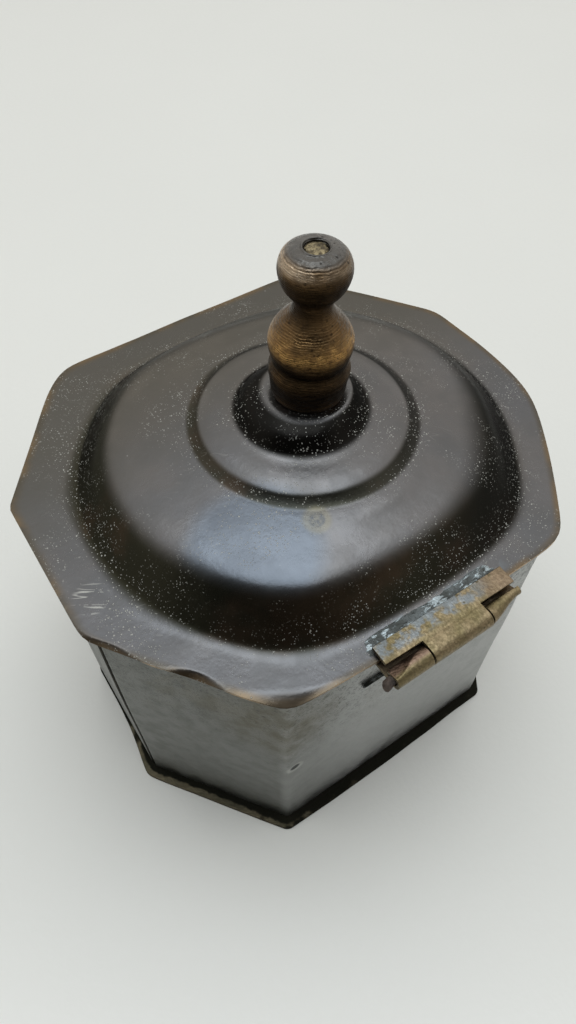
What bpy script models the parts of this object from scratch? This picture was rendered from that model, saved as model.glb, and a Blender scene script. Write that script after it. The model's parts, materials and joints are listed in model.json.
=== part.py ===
"""Octagonal tea caddy in sheet brass, with a domed lid, a turned finial and a knuckle hinge.

Metres, +Z up. The origin is the centre of the base plate's underside. The long sides lie
along X, and the hinge is on the +Y side. The lid's pieces are parented to the hinge axis.
"""

import bpy
import bmesh
from math import atan2, cos, pi, radians, sin, tan
from mathutils import Vector

MM = 0.001

# Plan of the lid's flange and the base plate: a rectangle with its four corners cut off.
PLAN_LENGTH = 124.0 * MM
PLAN_WIDTH = 110.0 * MM
CORNER_CUT_X = 26.0 * MM
CORNER_CUT_Y = 35.5 * MM

# Sheet and joints. JOINT_GAP is the film of solder, or of air, between two pieces that meet.
SHEET = 0.9 * MM
JOINT_GAP = 0.3 * MM
BODY_HEIGHT = 88.0 * MM
BASE_THICKNESS = 1.0 * MM
BASE_LIP = 2.0 * MM
BASE_CORNER_RADIUS = 2.0 * MM
WALL_FOLD_RADIUS = 1.2 * MM
SEAM_OPENING = 0.5 * MM
SOLDER_LEG = 1.8 * MM
SEAM_SOLDER_LEG = 3.0 * MM
SEAM_SOLDER_DROP = 6.0 * MM

# Lid, from the flange inwards: dome, round step, boss and the finial's seat. The lid is raised
# by hand, so the round part and the finial sit a little off the octagon's middle.
CENTRE_X = -3.0 * MM
CENTRE_Y = 2.3 * MM
FLANGE_FLAT = 9.0 * MM
DOME_SLOPE_WIDTH = 15.0 * MM
DOME_RISE = 10.3 * MM
STEP_RADIUS = 26.0 * MM
STEP_FOOT_RISE = 12.6 * MM
STEP_HEIGHT = 2.3 * MM
STEP_EDGE = 2.6 * MM
BOSS_RADIUS = 15.6 * MM
BOSS_HEIGHT = 4.4 * MM
SEAT_LIP = 0.5 * MM

# Turned finial, and the stud that holds it.
FINIAL_HEIGHT = 35.5 * MM
FINIAL_FOOT_RADIUS = 8.1 * MM
BULB_RADIUS = 8.75 * MM
NECK_RADIUS = 4.2 * MM
BALL_RADIUS = 7.1 * MM
STUD_RADIUS = 2.2 * MM
STUD_END_SPREAD = 0.4 * MM
STUD_END_THICKNESS = 0.9 * MM
RECESS_DEPTH = 1.6 * MM
STUD_HEAD_RADIUS = 4.0 * MM
STUD_HEAD_THICKNESS = 1.8 * MM
WASHER_RADIUS = 6.0 * MM
WASHER_THICKNESS = 1.0 * MM

# Hinge.
HINGE_LENGTH = 34.2 * MM
HINGE_MIDDLE_X = -1.5 * MM
CENTRE_KNUCKLE_LENGTH = 15.4 * MM
KNUCKLE_END_GAP = 0.4 * MM
PIN_RADIUS = 1.0 * MM
PIN_CLEARANCE = 0.3 * MM
PIN_HEAD_LENGTH = 1.8 * MM
LID_EDGE_CLEARANCE = 3.2 * MM
NOTCH_CLEARANCE = 0.6 * MM
LEAF_LAP = 2.6 * MM
BODY_LEAF_DEPTH = 14.0 * MM
LEAF_BEND_RADIUS = 1.2 * MM
LID_SOLDER_WIDTH = 2.4 * MM
LID_SOLDER_HEIGHT = 0.7 * MM

# Facets.
SIDE_STEPS = 8
TURNED_STEPS = 28
SMALL_STEPS = 20
CURL_STEPS = 14

# Sizes that follow from those above.
HALF_LENGTH = PLAN_LENGTH / 2
HALF_WIDTH = PLAN_WIDTH / 2
MEAN_HALF = (HALF_LENGTH + HALF_WIDTH) / 2
WALL_INSET = BASE_LIP
WALL_INNER_INSET = WALL_INSET + SHEET
WALL_BOTTOM = BASE_THICKNESS + JOINT_GAP
FLANGE_TOP = BODY_HEIGHT + JOINT_GAP + SHEET
STEP_TOP_RISE = STEP_FOOT_RISE + STEP_HEIGHT
SEAT_RISE = STEP_TOP_RISE + BOSS_HEIGHT + 0.9 * MM
SEAT_Z = FLANGE_TOP + SEAT_RISE
FINIAL_FOOT_Z = SEAT_Z + JOINT_GAP
FINIAL_TOP_Z = FINIAL_FOOT_Z + FINIAL_HEIGHT
STUD_HOLE_RADIUS = STUD_RADIUS + JOINT_GAP
STUD_END_RADIUS = STUD_RADIUS + STUD_END_SPREAD
RECESS_RADIUS = STUD_END_RADIUS + JOINT_GAP
KNUCKLE_RADIUS = PIN_RADIUS + PIN_CLEARANCE + SHEET
LEAF_TOP_Z = FLANGE_TOP + JOINT_GAP + SHEET
AXIS_Y = HALF_WIDTH + LID_EDGE_CLEARANCE + KNUCKLE_RADIUS
AXIS_Z = LEAF_TOP_Z - KNUCKLE_RADIUS
NOTCH_Y = AXIS_Y - KNUCKLE_RADIUS - NOTCH_CLEARANCE
BODY_LEAF_FACE_Y = HALF_WIDTH - WALL_INSET + JOINT_GAP + SHEET
HINGE_LOW_X = HINGE_MIDDLE_X - HINGE_LENGTH / 2
HINGE_HIGH_X = HINGE_MIDDLE_X + HINGE_LENGTH / 2
CENTRE_HALF = CENTRE_KNUCKLE_LENGTH / 2


def clear_scene():
    for obj in list(bpy.data.objects):
        bpy.data.objects.remove(obj)


def finish(name, colour, metallic, roughness):
    """A plain Principled material."""
    material = bpy.data.materials.new(name)
    material.use_nodes = True
    shader = material.node_tree.nodes["Principled BSDF"]
    shader.inputs["Base Color"].default_value = (*colour, 1.0)
    shader.inputs["Metallic"].default_value = metallic
    shader.inputs["Roughness"].default_value = roughness
    return material


def add_piece(name, bm, material, parent=None):
    """Makes the bmesh a named object with outward normals, kept in place under its parent."""
    bmesh.ops.recalc_face_normals(bm, faces=bm.faces)
    mesh = bpy.data.meshes.new(name)
    bm.to_mesh(mesh)
    bm.free()
    mesh.materials.append(material)
    obj = bpy.data.objects.new(name, mesh)
    bpy.context.scene.collection.objects.link(obj)
    if parent:
        obj.parent = parent
        obj.matrix_parent_inverse = parent.matrix_world.inverted()
    return obj


def shade_round(obj, angle=radians(40)):
    obj.data.shade_smooth()
    obj.data.set_sharp_from_angle(angle=angle)


def thicken(obj, thickness, offset):
    """Sheet thickness laid on one side of the surface."""
    modifier = obj.modifiers.new("sheet", "SOLIDIFY")
    modifier.thickness = thickness
    modifier.offset = offset
    modifier.use_even_offset = True


# --- plan of the octagon ---------------------------------------------------------------


def plan_sides(inset=0.0):
    """(normal angle, distance from the centre) of the eight sides, anticlockwise from +X."""
    cut_angle = atan2(CORNER_CUT_X, CORNER_CUT_Y)
    cut_distance = (
        HALF_LENGTH * cos(cut_angle) + (HALF_WIDTH - CORNER_CUT_Y) * sin(cut_angle)
    )
    return [
        (0, HALF_LENGTH - inset),
        (cut_angle, cut_distance - inset),
        (pi / 2, HALF_WIDTH - inset),
        (pi - cut_angle, cut_distance - inset),
        (pi, HALF_LENGTH - inset),
        (pi + cut_angle, cut_distance - inset),
        (3 * pi / 2, HALF_WIDTH - inset),
        (2 * pi - cut_angle, cut_distance - inset),
    ]


def octagon(inset=0.0):
    """The eight corners, where each side meets the next. The first is the seam's corner."""
    sides = plan_sides(inset)
    corners = []
    for (a, da), (b, db) in zip(sides, sides[1:] + sides[:1]):
        det = cos(a) * sin(b) - sin(a) * cos(b)
        corners.append(
            Vector(((da * sin(b) - db * sin(a)) / det, (db * cos(a) - da * cos(b)) / det))
        )
    return corners


def octagon_radius(angle):
    """Distance from the centre to the flange's edge in a direction."""
    return min(
        distance / cos(angle - normal)
        for normal, distance in plan_sides()
        if cos(angle - normal) > 0.1
    )


def rounded(corners, radius, steps=3, closed=True):
    """The outline with an arc of the given radius at each corner, ends left alone if open."""
    points = []
    for i, corner in enumerate(corners):
        if not closed and i in (0, len(corners) - 1):
            points.append(corner)
            continue
        back = (corners[i - 1] - corner).normalized()
        on = (corners[(i + 1) % len(corners)] - corner).normalized()
        half = back.angle(on) / 2
        centre = corner + (back + on).normalized() * radius / sin(half)
        start = corner + back * radius / tan(half) - centre
        end = corner + on * radius / tan(half) - centre
        for step in range(steps + 1):
            swept = start.lerp(end, step / steps).normalized() * radius
            points.append(centre + swept)
    return points


def prism(points, low, high):
    """A closed outline in XY made a solid between two heights."""
    bm = bmesh.new()
    face = bm.faces.new([bm.verts.new((x, y, low)) for x, y in points])
    made = bmesh.ops.extrude_face_region(bm, geom=[face])["geom"]
    verts = [v for v in made if isinstance(v, bmesh.types.BMVert)]
    bmesh.ops.translate(bm, verts=verts, vec=(0, 0, high - low))
    return bm


def bar_along_x(section, low, high):
    """A closed outline in YZ made a solid between two places on X."""
    bm = bmesh.new()
    face = bm.faces.new([bm.verts.new((low, y, z)) for y, z in section])
    made = bmesh.ops.extrude_face_region(bm, geom=[face])["geom"]
    verts = [v for v in made if isinstance(v, bmesh.types.BMVert)]
    bmesh.ops.translate(bm, verts=verts, vec=(high - low, 0, 0))
    return bm


def turned(profile, steps, axis=(0, 0, 1), centre=(CENTRE_X, CENTRE_Y, 0)):
    """A closed (radius, height) profile spun round an axis along Z or X."""
    bm = bmesh.new()
    across = Vector((1, 0, 0)) if axis[2] == 1 else Vector((0, 1, 0))
    verts = [
        bm.verts.new(Vector(centre) + across * r + Vector(axis) * h) for r, h in profile
    ]
    edges = [bm.edges.new(pair) for pair in zip(verts, verts[1:])]
    if profile[0][0] > 0:
        edges.append(bm.edges.new((verts[-1], verts[0])))
    bmesh.ops.spin(
        bm, geom=verts + edges, cent=centre, axis=axis, angle=2 * pi, steps=steps, use_merge=True
    )
    bmesh.ops.remove_doubles(bm, verts=bm.verts, dist=1e-6)
    return bm


# --- body --------------------------------------------------------------------------------


def base_plate(material):
    outline = rounded(octagon(), BASE_CORNER_RADIUS)
    return add_piece("base_plate", prism(outline, 0, BASE_THICKNESS), material)


def body_wall(material):
    """One strip folded at seven corners. Its ends meet at the eighth, which stays a little open."""
    corners = octagon(WALL_INSET)
    seam = corners[0]
    fold = pi - (corners[1] - seam).angle(corners[-1] - seam)
    setback = SHEET * tan(fold / 2) + SEAM_OPENING / 2
    start = seam + (corners[1] - seam).normalized() * setback
    end = seam + (corners[-1] - seam).normalized() * setback
    outline = rounded([start, *corners[1:], end], WALL_FOLD_RADIUS, closed=False)
    bm = bmesh.new()
    verts = [bm.verts.new((x, y, WALL_BOTTOM)) for x, y in outline]
    edges = [bm.edges.new(pair) for pair in zip(verts, verts[1:])]
    made = bmesh.ops.extrude_edge_only(bm, edges=edges)["geom"]
    top = [v for v in made if isinstance(v, bmesh.types.BMVert)]
    bmesh.ops.translate(bm, verts=top, vec=(0, 0, BODY_HEIGHT - WALL_BOTTOM))
    wall = add_piece("body_wall", bm, material)
    thicken(wall, SHEET, offset=-1 if outward(wall) else 1)
    return wall


def outward(obj):
    """Whether an open sheet's normals point away from the Z axis."""
    return sum(p.normal.xy.dot(p.center.xy) for p in obj.data.polygons) > 0


def base_solder(material):
    """A fillet round the inside, where the wall stands on the plate."""
    inset = WALL_INNER_INSET + JOINT_GAP
    low = WALL_BOTTOM
    bm = bmesh.new()
    section = [(inset, low), (inset + SOLDER_LEG, low), (inset, low + SOLDER_LEG)]
    loops = [[bm.verts.new((x, y, z)) for x, y in octagon(i)] for i, z in section]
    for loop, following in zip(loops, loops[1:] + loops[:1]):
        for k in range(len(loop)):
            n = (k + 1) % len(loop)
            bm.faces.new((loop[k], loop[n], following[n], following[k]))
    return add_piece("base_solder", bm, material)


def wall_seam_solder(material):
    """A bead up the inside of the seam's corner."""
    corners = octagon(WALL_INNER_INSET + JOINT_GAP)
    seam = corners[0]
    one = seam + (corners[1] - seam).normalized() * SEAM_SOLDER_LEG
    other = seam + (corners[-1] - seam).normalized() * SEAM_SOLDER_LEG
    low = WALL_BOTTOM + SOLDER_LEG + JOINT_GAP
    bm = prism([seam, one, other], low, BODY_HEIGHT - SEAM_SOLDER_DROP)
    return add_piece("wall_seam_solder", bm, material)


# --- lid ---------------------------------------------------------------------------------


def dome_stations():
    """(mean radius, roundness, rise) from the flange's edge to the top of the dome's slope."""
    foot = MEAN_HALF - FLANGE_FLAT
    stations = [(MEAN_HALF, 0.0, 0.0), (foot, 0.25, 0.0)]
    steps = 6
    for step in range(1, steps + 1):
        along = step / steps
        # A small hollow at the foot, then a long rounded shoulder.
        rise = DOME_RISE * sin(pi / 2 * along) ** 1.35
        stations.append((foot - DOME_SLOPE_WIDTH * along, 0.3 + 0.3 * along, rise))
    return stations


def centre_stations():
    """(radius, roundness, rise) of the round part, from the step's foot to the stud's hole."""
    lip_radius = FINIAL_FOOT_RADIUS + 3 * JOINT_GAP
    top = STEP_TOP_RISE
    return [
        (STEP_RADIUS + STEP_EDGE / 2, 1.0, STEP_FOOT_RISE - 0.1 * STEP_HEIGHT),
        (STEP_RADIUS, 1.0, STEP_FOOT_RISE + 0.15 * STEP_HEIGHT),
        (STEP_RADIUS - 0.35 * STEP_EDGE, 1.0, STEP_FOOT_RISE + 0.7 * STEP_HEIGHT),
        (STEP_RADIUS - STEP_EDGE, 1.0, top),
        (BOSS_RADIUS + STEP_EDGE / 2, 1.0, top + 0.08 * BOSS_HEIGHT),
        (BOSS_RADIUS - STEP_EDGE / 2, 1.0, top + 0.3 * BOSS_HEIGHT),
        (lip_radius + 0.35 * (BOSS_RADIUS - lip_radius), 1.0, top + 0.85 * BOSS_HEIGHT),
        (lip_radius, 1.0, SEAT_RISE + SEAT_LIP),
        (FINIAL_FOOT_RADIUS + JOINT_GAP, 1.0, SEAT_RISE),
        (STUD_HOLE_RADIUS, 1.0, SEAT_RISE),
    ]


def station_loop(mean_radius, roundness, rise):
    """A loop that blends the octagon, drawn in by the same amount all round, into a circle."""
    inset = MEAN_HALF - mean_radius
    scale_x = (HALF_LENGTH - inset) / HALF_LENGTH
    scale_y = (HALF_WIDTH - inset) / HALF_WIDTH
    turns = [atan2(corner.y, corner.x) % (2 * pi) for corner in octagon()]
    points = []
    for low, high in zip(turns, turns[1:] + [turns[0] + 2 * pi]):
        for step in range(SIDE_STEPS):
            angle = low + (high - low) * step / SIDE_STEPS
            edge = octagon_radius(angle)
            on_octagon = Vector((edge * cos(angle) * scale_x, edge * sin(angle) * scale_y))
            on_circle = Vector((mean_radius * cos(angle), mean_radius * sin(angle)))
            middle = Vector((CENTRE_X, CENTRE_Y)) * roundness
            x, y = on_octagon.lerp(on_circle, roundness) + middle
            points.append((x, y, FLANGE_TOP + rise))
    return points


def lid_shell(material, pivot):
    """The raised sheet, drawn loop by loop from the flange's edge to the stud's hole."""
    bm = bmesh.new()
    stations = dome_stations() + centre_stations()
    first = [bm.verts.new(p) for p in station_loop(*stations[0])]
    loop = [bm.edges.new(pair) for pair in zip(first, first[1:] + first[:1])]
    ring = first
    for station in stations[1:]:
        made = bmesh.ops.extrude_edge_only(bm, edges=loop)["geom"]
        loop = [e for e in made if isinstance(e, bmesh.types.BMEdge)]
        outer = ring
        ring = [next(e.other_vert(v) for e in v.link_edges if e.other_vert(v) in made) for v in ring]
        for vert, point in zip(ring, station_loop(*station)):
            vert.co = point
        loop = [e for e in loop if not set(e.verts) & set(outer)]
    shell = add_piece("lid_shell", bm, material, pivot)
    up = sum(p.normal.z for p in shell.data.polygons) > 0
    thicken(shell, SHEET, offset=-1 if up else 1)
    shade_round(shell)
    return shell


def finial_profile():
    """Closed (radius, height) profile: foot ring, waist, bulb, neck, ball, and the stud's bore."""
    h = FINIAL_HEIGHT
    waist = 0.92 * BULB_RADIUS
    outside = [
        (FINIAL_FOOT_RADIUS, 0.0),
        (0.97 * BULB_RADIUS, 0.05 * h),
        (BULB_RADIUS, 0.11 * h),
        (0.97 * BULB_RADIUS, 0.165 * h),
        (waist, 0.2 * h),
        (0.97 * BULB_RADIUS, 0.24 * h),
        (BULB_RADIUS, 0.32 * h),
        (0.95 * BULB_RADIUS, 0.39 * h),
        (0.8 * BULB_RADIUS, 0.46 * h),
        (0.6 * BULB_RADIUS, 0.53 * h),
        (1.05 * NECK_RADIUS, 0.585 * h),
        (NECK_RADIUS, 0.62 * h),
        (1.08 * NECK_RADIUS, 0.655 * h),
        (0.8 * BALL_RADIUS, 0.71 * h),
        (0.95 * BALL_RADIUS, 0.77 * h),
        (BALL_RADIUS, 0.83 * h),
        (0.97 * BALL_RADIUS, 0.89 * h),
        (0.82 * BALL_RADIUS, 0.95 * h),
        (0.6 * BALL_RADIUS, 0.985 * h),
        (RECESS_RADIUS + 2 * JOINT_GAP, h),
    ]
    bore = [
        (RECESS_RADIUS, h),
        (RECESS_RADIUS, h - RECESS_DEPTH),
        (STUD_HOLE_RADIUS, h - RECESS_DEPTH),
        (STUD_HOLE_RADIUS, 0.0),
    ]
    return [(r, FINIAL_FOOT_Z + z) for r, z in outside + bore]


def finial(material, pivot):
    piece = add_piece("finial", turned(finial_profile(), TURNED_STEPS), material, pivot)
    shade_round(piece)
    return piece


def finial_stud(material, pivot):
    """Button head under the lid, shank up through the finial, riveted end in its top."""
    head_top = SEAT_Z - SHEET - WASHER_THICKNESS - 2 * JOINT_GAP
    end_low = FINIAL_TOP_Z - RECESS_DEPTH + JOINT_GAP
    end_high = end_low + STUD_END_THICKNESS
    profile = [
        (0.0, head_top - STUD_HEAD_THICKNESS),
        (0.6 * STUD_HEAD_RADIUS, head_top - 0.85 * STUD_HEAD_THICKNESS),
        (0.95 * STUD_HEAD_RADIUS, head_top - 0.45 * STUD_HEAD_THICKNESS),
        (STUD_HEAD_RADIUS, head_top),
        (STUD_RADIUS, head_top),
        (STUD_RADIUS, end_low),
        (STUD_END_RADIUS, end_low),
        (STUD_END_RADIUS, end_high - 0.2 * STUD_END_THICKNESS),
        (0.85 * STUD_END_RADIUS, end_high),
        (0.0, end_high),
    ]
    piece = add_piece("finial_stud", turned(profile, SMALL_STEPS), material, pivot)
    shade_round(piece)
    return piece


def finial_washer(material, pivot):
    top = SEAT_Z - SHEET - JOINT_GAP
    low = top - WASHER_THICKNESS
    profile = [
        (STUD_HOLE_RADIUS, low),
        (WASHER_RADIUS, low),
        (WASHER_RADIUS, top),
        (STUD_HOLE_RADIUS, top),
    ]
    return add_piece("finial_washer", turned(profile, SMALL_STEPS), material, pivot)


# --- hinge -------------------------------------------------------------------------------


def curl(start_angle, sweep):
    """(y, z) points of the outside of a knuckle about the hinge axis."""
    points = []
    for step in range(1, CURL_STEPS + 1):
        angle = start_angle + sweep * step / CURL_STEPS
        points.append(
            (AXIS_Y + KNUCKLE_RADIUS * cos(angle), AXIS_Z + KNUCKLE_RADIUS * sin(angle))
        )
    return points


def leaf_sheet(name, strap, knuckle, knuckle_in_centre, material, parent):
    """A leaf's outer surface: a strap along the whole hinge, and knuckles on some of it."""
    cut = CENTRE_HALF + KNUCKLE_END_GAP * (0 if knuckle_in_centre else 1)
    places = [HINGE_LOW_X, HINGE_MIDDLE_X - cut, HINGE_MIDDLE_X + cut, HINGE_HIGH_X]
    bm = bmesh.new()
    grid = [[bm.verts.new((x, y, z)) for y, z in strap] for x in places]
    for left, right in zip(grid, grid[1:]):
        for k in range(len(strap) - 1):
            bm.faces.new((left[k], right[k], right[k + 1], left[k + 1]))
    spans = [(1, 2)] if knuckle_in_centre else [(0, 1), (2, 3)]
    for low, high in spans:
        left, right = grid[low][-1], grid[high][-1]
        for y, z in knuckle:
            next_left = bm.verts.new((places[low], y, z))
            next_right = bm.verts.new((places[high], y, z))
            bm.faces.new((left, right, next_right, next_left))
            left, right = next_left, next_right
    leaf = add_piece(name, bm, material, parent)
    first = leaf.data.polygons[0]
    faces_out = first.normal.z > 0.5 or first.normal.y > 0.5
    thicken(leaf, SHEET, offset=-1 if faces_out else 1)
    shade_round(leaf)
    return leaf


def lid_hinge_leaf(material, pivot):
    """Lies on the flange, and its middle curls over and round the pin."""
    strap = [(HALF_WIDTH - LEAF_LAP, LEAF_TOP_Z), (NOTCH_Y, LEAF_TOP_Z)]
    knuckle = [(AXIS_Y, LEAF_TOP_Z)] + curl(pi / 2, -3 * pi / 2)
    return leaf_sheet("lid_hinge_leaf", strap, knuckle, True, material, pivot)


def body_hinge_leaf(material):
    """Lies on the wall, steps out under the flange, and its two ends curl round the pin."""
    web_z = AXIS_Z - KNUCKLE_RADIUS
    bend = [
        (
            BODY_LEAF_FACE_Y + LEAF_BEND_RADIUS * (1 - cos(angle)),
            web_z - LEAF_BEND_RADIUS * (1 - sin(angle)),
        )
        for angle in (0, pi / 6, pi / 3, pi / 2)
    ]
    strap = [(BODY_LEAF_FACE_Y, web_z - BODY_LEAF_DEPTH), *bend, (NOTCH_Y, web_z)]
    knuckle = [(AXIS_Y, web_z)] + curl(-pi / 2, 3 * pi / 2)
    return leaf_sheet("body_hinge_leaf", strap, knuckle, False, material, None)


def hinge_pin(material):
    """A wire, flush in one end knuckle and riveted over outside the other."""
    low = HINGE_LOW_X + JOINT_GAP
    high = HINGE_HIGH_X + JOINT_GAP
    profile = [
        (0.0, low),
        (PIN_RADIUS, low),
        (PIN_RADIUS, high),
        (1.45 * PIN_RADIUS, high + 0.15 * PIN_HEAD_LENGTH),
        (1.5 * PIN_RADIUS, high + 0.6 * PIN_HEAD_LENGTH),
        (0.9 * PIN_RADIUS, high + PIN_HEAD_LENGTH),
        (0.0, high + PIN_HEAD_LENGTH),
    ]
    bm = turned(profile, SMALL_STEPS, axis=(1, 0, 0), centre=(0, AXIS_Y, AXIS_Z))
    piece = add_piece("hinge_pin", bm, material)
    shade_round(piece)
    return piece


def lid_leaf_solder(material, pivot):
    """A low wedge along the inner edge of the lid's leaf."""
    high = HALF_WIDTH - LEAF_LAP - JOINT_GAP
    low = high - LID_SOLDER_WIDTH
    bottom = FLANGE_TOP + JOINT_GAP
    section = [
        (low, bottom),
        (high, bottom),
        (high, bottom + LID_SOLDER_HEIGHT),
        (low, bottom + 0.3 * LID_SOLDER_HEIGHT),
    ]
    bm = bar_along_x(section, HINGE_LOW_X, HINGE_HIGH_X)
    return add_piece("lid_leaf_solder", bm, material, pivot)


def body_leaf_solder(material):
    """A fillet along the lower edge of the body's leaf."""
    wall_y = HALF_WIDTH - WALL_INSET + JOINT_GAP
    top = AXIS_Z - KNUCKLE_RADIUS - BODY_LEAF_DEPTH - JOINT_GAP
    section = [(wall_y, top), (wall_y, top - SOLDER_LEG), (wall_y + SHEET, top)]
    bm = bar_along_x(section, HINGE_LOW_X, HINGE_HIGH_X)
    return add_piece("body_leaf_solder", bm, material)


def main():
    clear_scene()
    brown = finish("patinated_brass", (0.075, 0.065, 0.052), 1.0, 0.38)
    grey = finish("dull_wall_brass", (0.19, 0.19, 0.17), 1.0, 0.42)
    gold = finish("hinge_brass", (0.36, 0.29, 0.15), 1.0, 0.45)
    cast = finish("finial_brass", (0.17, 0.11, 0.05), 1.0, 0.36)
    tin = finish("solder", (0.42, 0.46, 0.47), 1.0, 0.5)
    iron = finish("rusted_iron", (0.06, 0.045, 0.04), 0.8, 0.7)

    pivot = bpy.data.objects.new("lid_pivot", None)
    pivot.location = (0, AXIS_Y, AXIS_Z)
    bpy.context.scene.collection.objects.link(pivot)
    bpy.context.view_layer.update()

    base_plate(grey)
    body_wall(grey)
    base_solder(tin)
    wall_seam_solder(tin)
    body_hinge_leaf(gold)
    body_leaf_solder(tin)
    hinge_pin(iron)

    lid_shell(brown, pivot)
    lid_hinge_leaf(gold, pivot)
    lid_leaf_solder(tin, pivot)
    finial(cast, pivot)
    finial_stud(gold, pivot)
    finial_washer(gold, pivot)


main()
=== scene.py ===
# %% [markdown]
# # An old sheet-brass tea caddy
# The caddy is an eight-sided box of soldered sheet with a hammered, domed lid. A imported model
# already holds every piece at its true size and place. This lesson gives those pieces the shapes
# and the finishes that years of use, solder and dust leave on such a box.

import json
from math import atan2, cos, exp, hypot, pi, radians, sin

import bmesh
import bpy
from mathutils import Matrix, Vector, noise


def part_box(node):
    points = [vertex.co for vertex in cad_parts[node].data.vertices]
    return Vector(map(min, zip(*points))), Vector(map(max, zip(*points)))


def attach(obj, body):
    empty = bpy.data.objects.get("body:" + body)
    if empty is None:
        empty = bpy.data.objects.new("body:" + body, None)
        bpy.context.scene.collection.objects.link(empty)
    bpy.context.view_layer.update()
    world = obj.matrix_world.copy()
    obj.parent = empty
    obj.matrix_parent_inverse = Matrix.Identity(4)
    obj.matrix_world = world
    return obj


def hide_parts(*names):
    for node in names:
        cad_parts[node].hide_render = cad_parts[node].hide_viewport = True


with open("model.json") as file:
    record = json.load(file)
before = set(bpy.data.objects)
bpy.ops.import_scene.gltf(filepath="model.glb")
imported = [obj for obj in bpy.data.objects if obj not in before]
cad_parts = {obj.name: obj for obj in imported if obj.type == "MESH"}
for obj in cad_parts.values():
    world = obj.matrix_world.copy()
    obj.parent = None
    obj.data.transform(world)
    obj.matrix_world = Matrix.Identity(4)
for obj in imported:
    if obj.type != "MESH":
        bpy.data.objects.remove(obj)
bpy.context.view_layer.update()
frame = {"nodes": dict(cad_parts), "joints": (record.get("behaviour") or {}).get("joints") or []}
MM = 0.001
print("nodes:", ", ".join(sorted(frame["nodes"])))

# %% [markdown]
# ## Sizes that every piece shares
# The box is a rectangle with its corners cut off, so its plan is eight flat sides. Each side is
# kept as a direction and a distance from the middle: a smaller octagon then only needs shorter
# distances. The middle of the round part of the lid was set out by eye on the real caddy, and it
# sits a little off the middle of the box, where the finial's box in the frame says.

# %% Plan of the octagon
BODY = "caddy_body"
LID = "lid"
SHEET = 0.9 * MM
GAP = 0.3 * MM
CORNER_CUT_X = 26.0 * MM
CORNER_CUT_Y = 35.5 * MM

HALF_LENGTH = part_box("base_plate")[1].x
HALF_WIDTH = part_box("base_plate")[1].y
MEAN_HALF = (HALF_LENGTH + HALF_WIDTH) / 2
WALL_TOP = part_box("body_wall")[1].z
WALL_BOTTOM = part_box("body_wall")[0].z
WALL_INSET = HALF_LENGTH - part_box("body_wall")[1].x
FLANGE_TOP = WALL_TOP + GAP + SHEET
FINIAL_LOW, FINIAL_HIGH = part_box("finial")
CENTRE = Vector(((FINIAL_LOW.x + FINIAL_HIGH.x) / 2, (FINIAL_LOW.y + FINIAL_HIGH.y) / 2))
HINGE = Vector(frame["joints"][0]["pos_m"])
# In plan, from the box towards the person who looks at it.
NEAR_SIDE = Vector((0.559, 0.829))

CUT_ANGLE = atan2(CORNER_CUT_X, CORNER_CUT_Y)
CUT_DISTANCE = (
    HALF_LENGTH * cos(CUT_ANGLE) + (HALF_WIDTH - CORNER_CUT_Y) * sin(CUT_ANGLE)
)
QUARTERS = [0, CUT_ANGLE, pi / 2, pi - CUT_ANGLE]
SIDE_ANGLES = [*QUARTERS, pi, pi + CUT_ANGLE, 3 * pi / 2, 2 * pi - CUT_ANGLE]
SIDE_DISTANCES = [HALF_LENGTH, CUT_DISTANCE, HALF_WIDTH, CUT_DISTANCE] * 2


def turn_between(a, b):
    """The angle from b to a, between -pi and pi."""
    return (a - b + pi) % (2 * pi) - pi


def corners(inset=0.0):
    """The octagon's corners, anticlockwise. The first is the one where the wall's ends meet."""
    points = []
    for i in range(8):
        a, b = SIDE_ANGLES[i], SIDE_ANGLES[(i + 1) % 8]
        da, db = SIDE_DISTANCES[i] - inset, SIDE_DISTANCES[(i + 1) % 8] - inset
        det = cos(a) * sin(b) - sin(a) * cos(b)
        points.append(
            Vector(((da * sin(b) - db * sin(a)) / det, (db * cos(a) - da * cos(b)) / det))
        )
    return points


CORNER_ANGLES = [atan2(c.y, c.x) % (2 * pi) for c in corners()]
print("half length and width:", round(HALF_LENGTH / MM, 1), round(HALF_WIDTH / MM, 1), "mm")

# %% [markdown]
# ## Helpers
# Every piece goes the same way: a bmesh is shaped with operators, becomes an object, rides on a
# body of the frame, and stands for the frame's plain solid. `add_piece` holds those last steps.
# `smooth_line` draws a flowing section through a few points, as a template does in a workshop.

# %% From a bmesh to a piece
def add_piece(name, bm, body, material, stands_for=(), smooth=60):
    mesh = bpy.data.meshes.new(name)
    bm.to_mesh(mesh)
    bm.free()
    for one in material if isinstance(material, list) else [material]:
        mesh.materials.append(one)
    mesh.shade_smooth()
    mesh.set_sharp_from_angle(angle=radians(smooth))
    piece = bpy.data.objects.new(name, mesh)
    bpy.context.scene.collection.objects.link(piece)
    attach(piece, body)
    if stands_for:
        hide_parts(*stands_for)
    print(name, len(mesh.vertices), "points")
    return piece


def add_thickness(piece, thickness, offset=-1.0, rim=0, inner=0):
    """Sheet thickness on the inner side, with other material slots for the rim and the inside."""
    wall = piece.modifiers.new("sheet", "SOLIDIFY")
    wall.thickness = thickness
    wall.offset = offset
    wall.use_even_offset = False
    wall.material_offset_rim = rim
    wall.material_offset = inner
    return wall


def add_soft_edges(piece, width, segments=2):
    bevel = piece.modifiers.new("soft edges", "BEVEL")
    bevel.width = width
    bevel.segments = segments
    bevel.limit_method = "ANGLE"
    bevel.angle_limit = radians(50)
    return bevel


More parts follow.
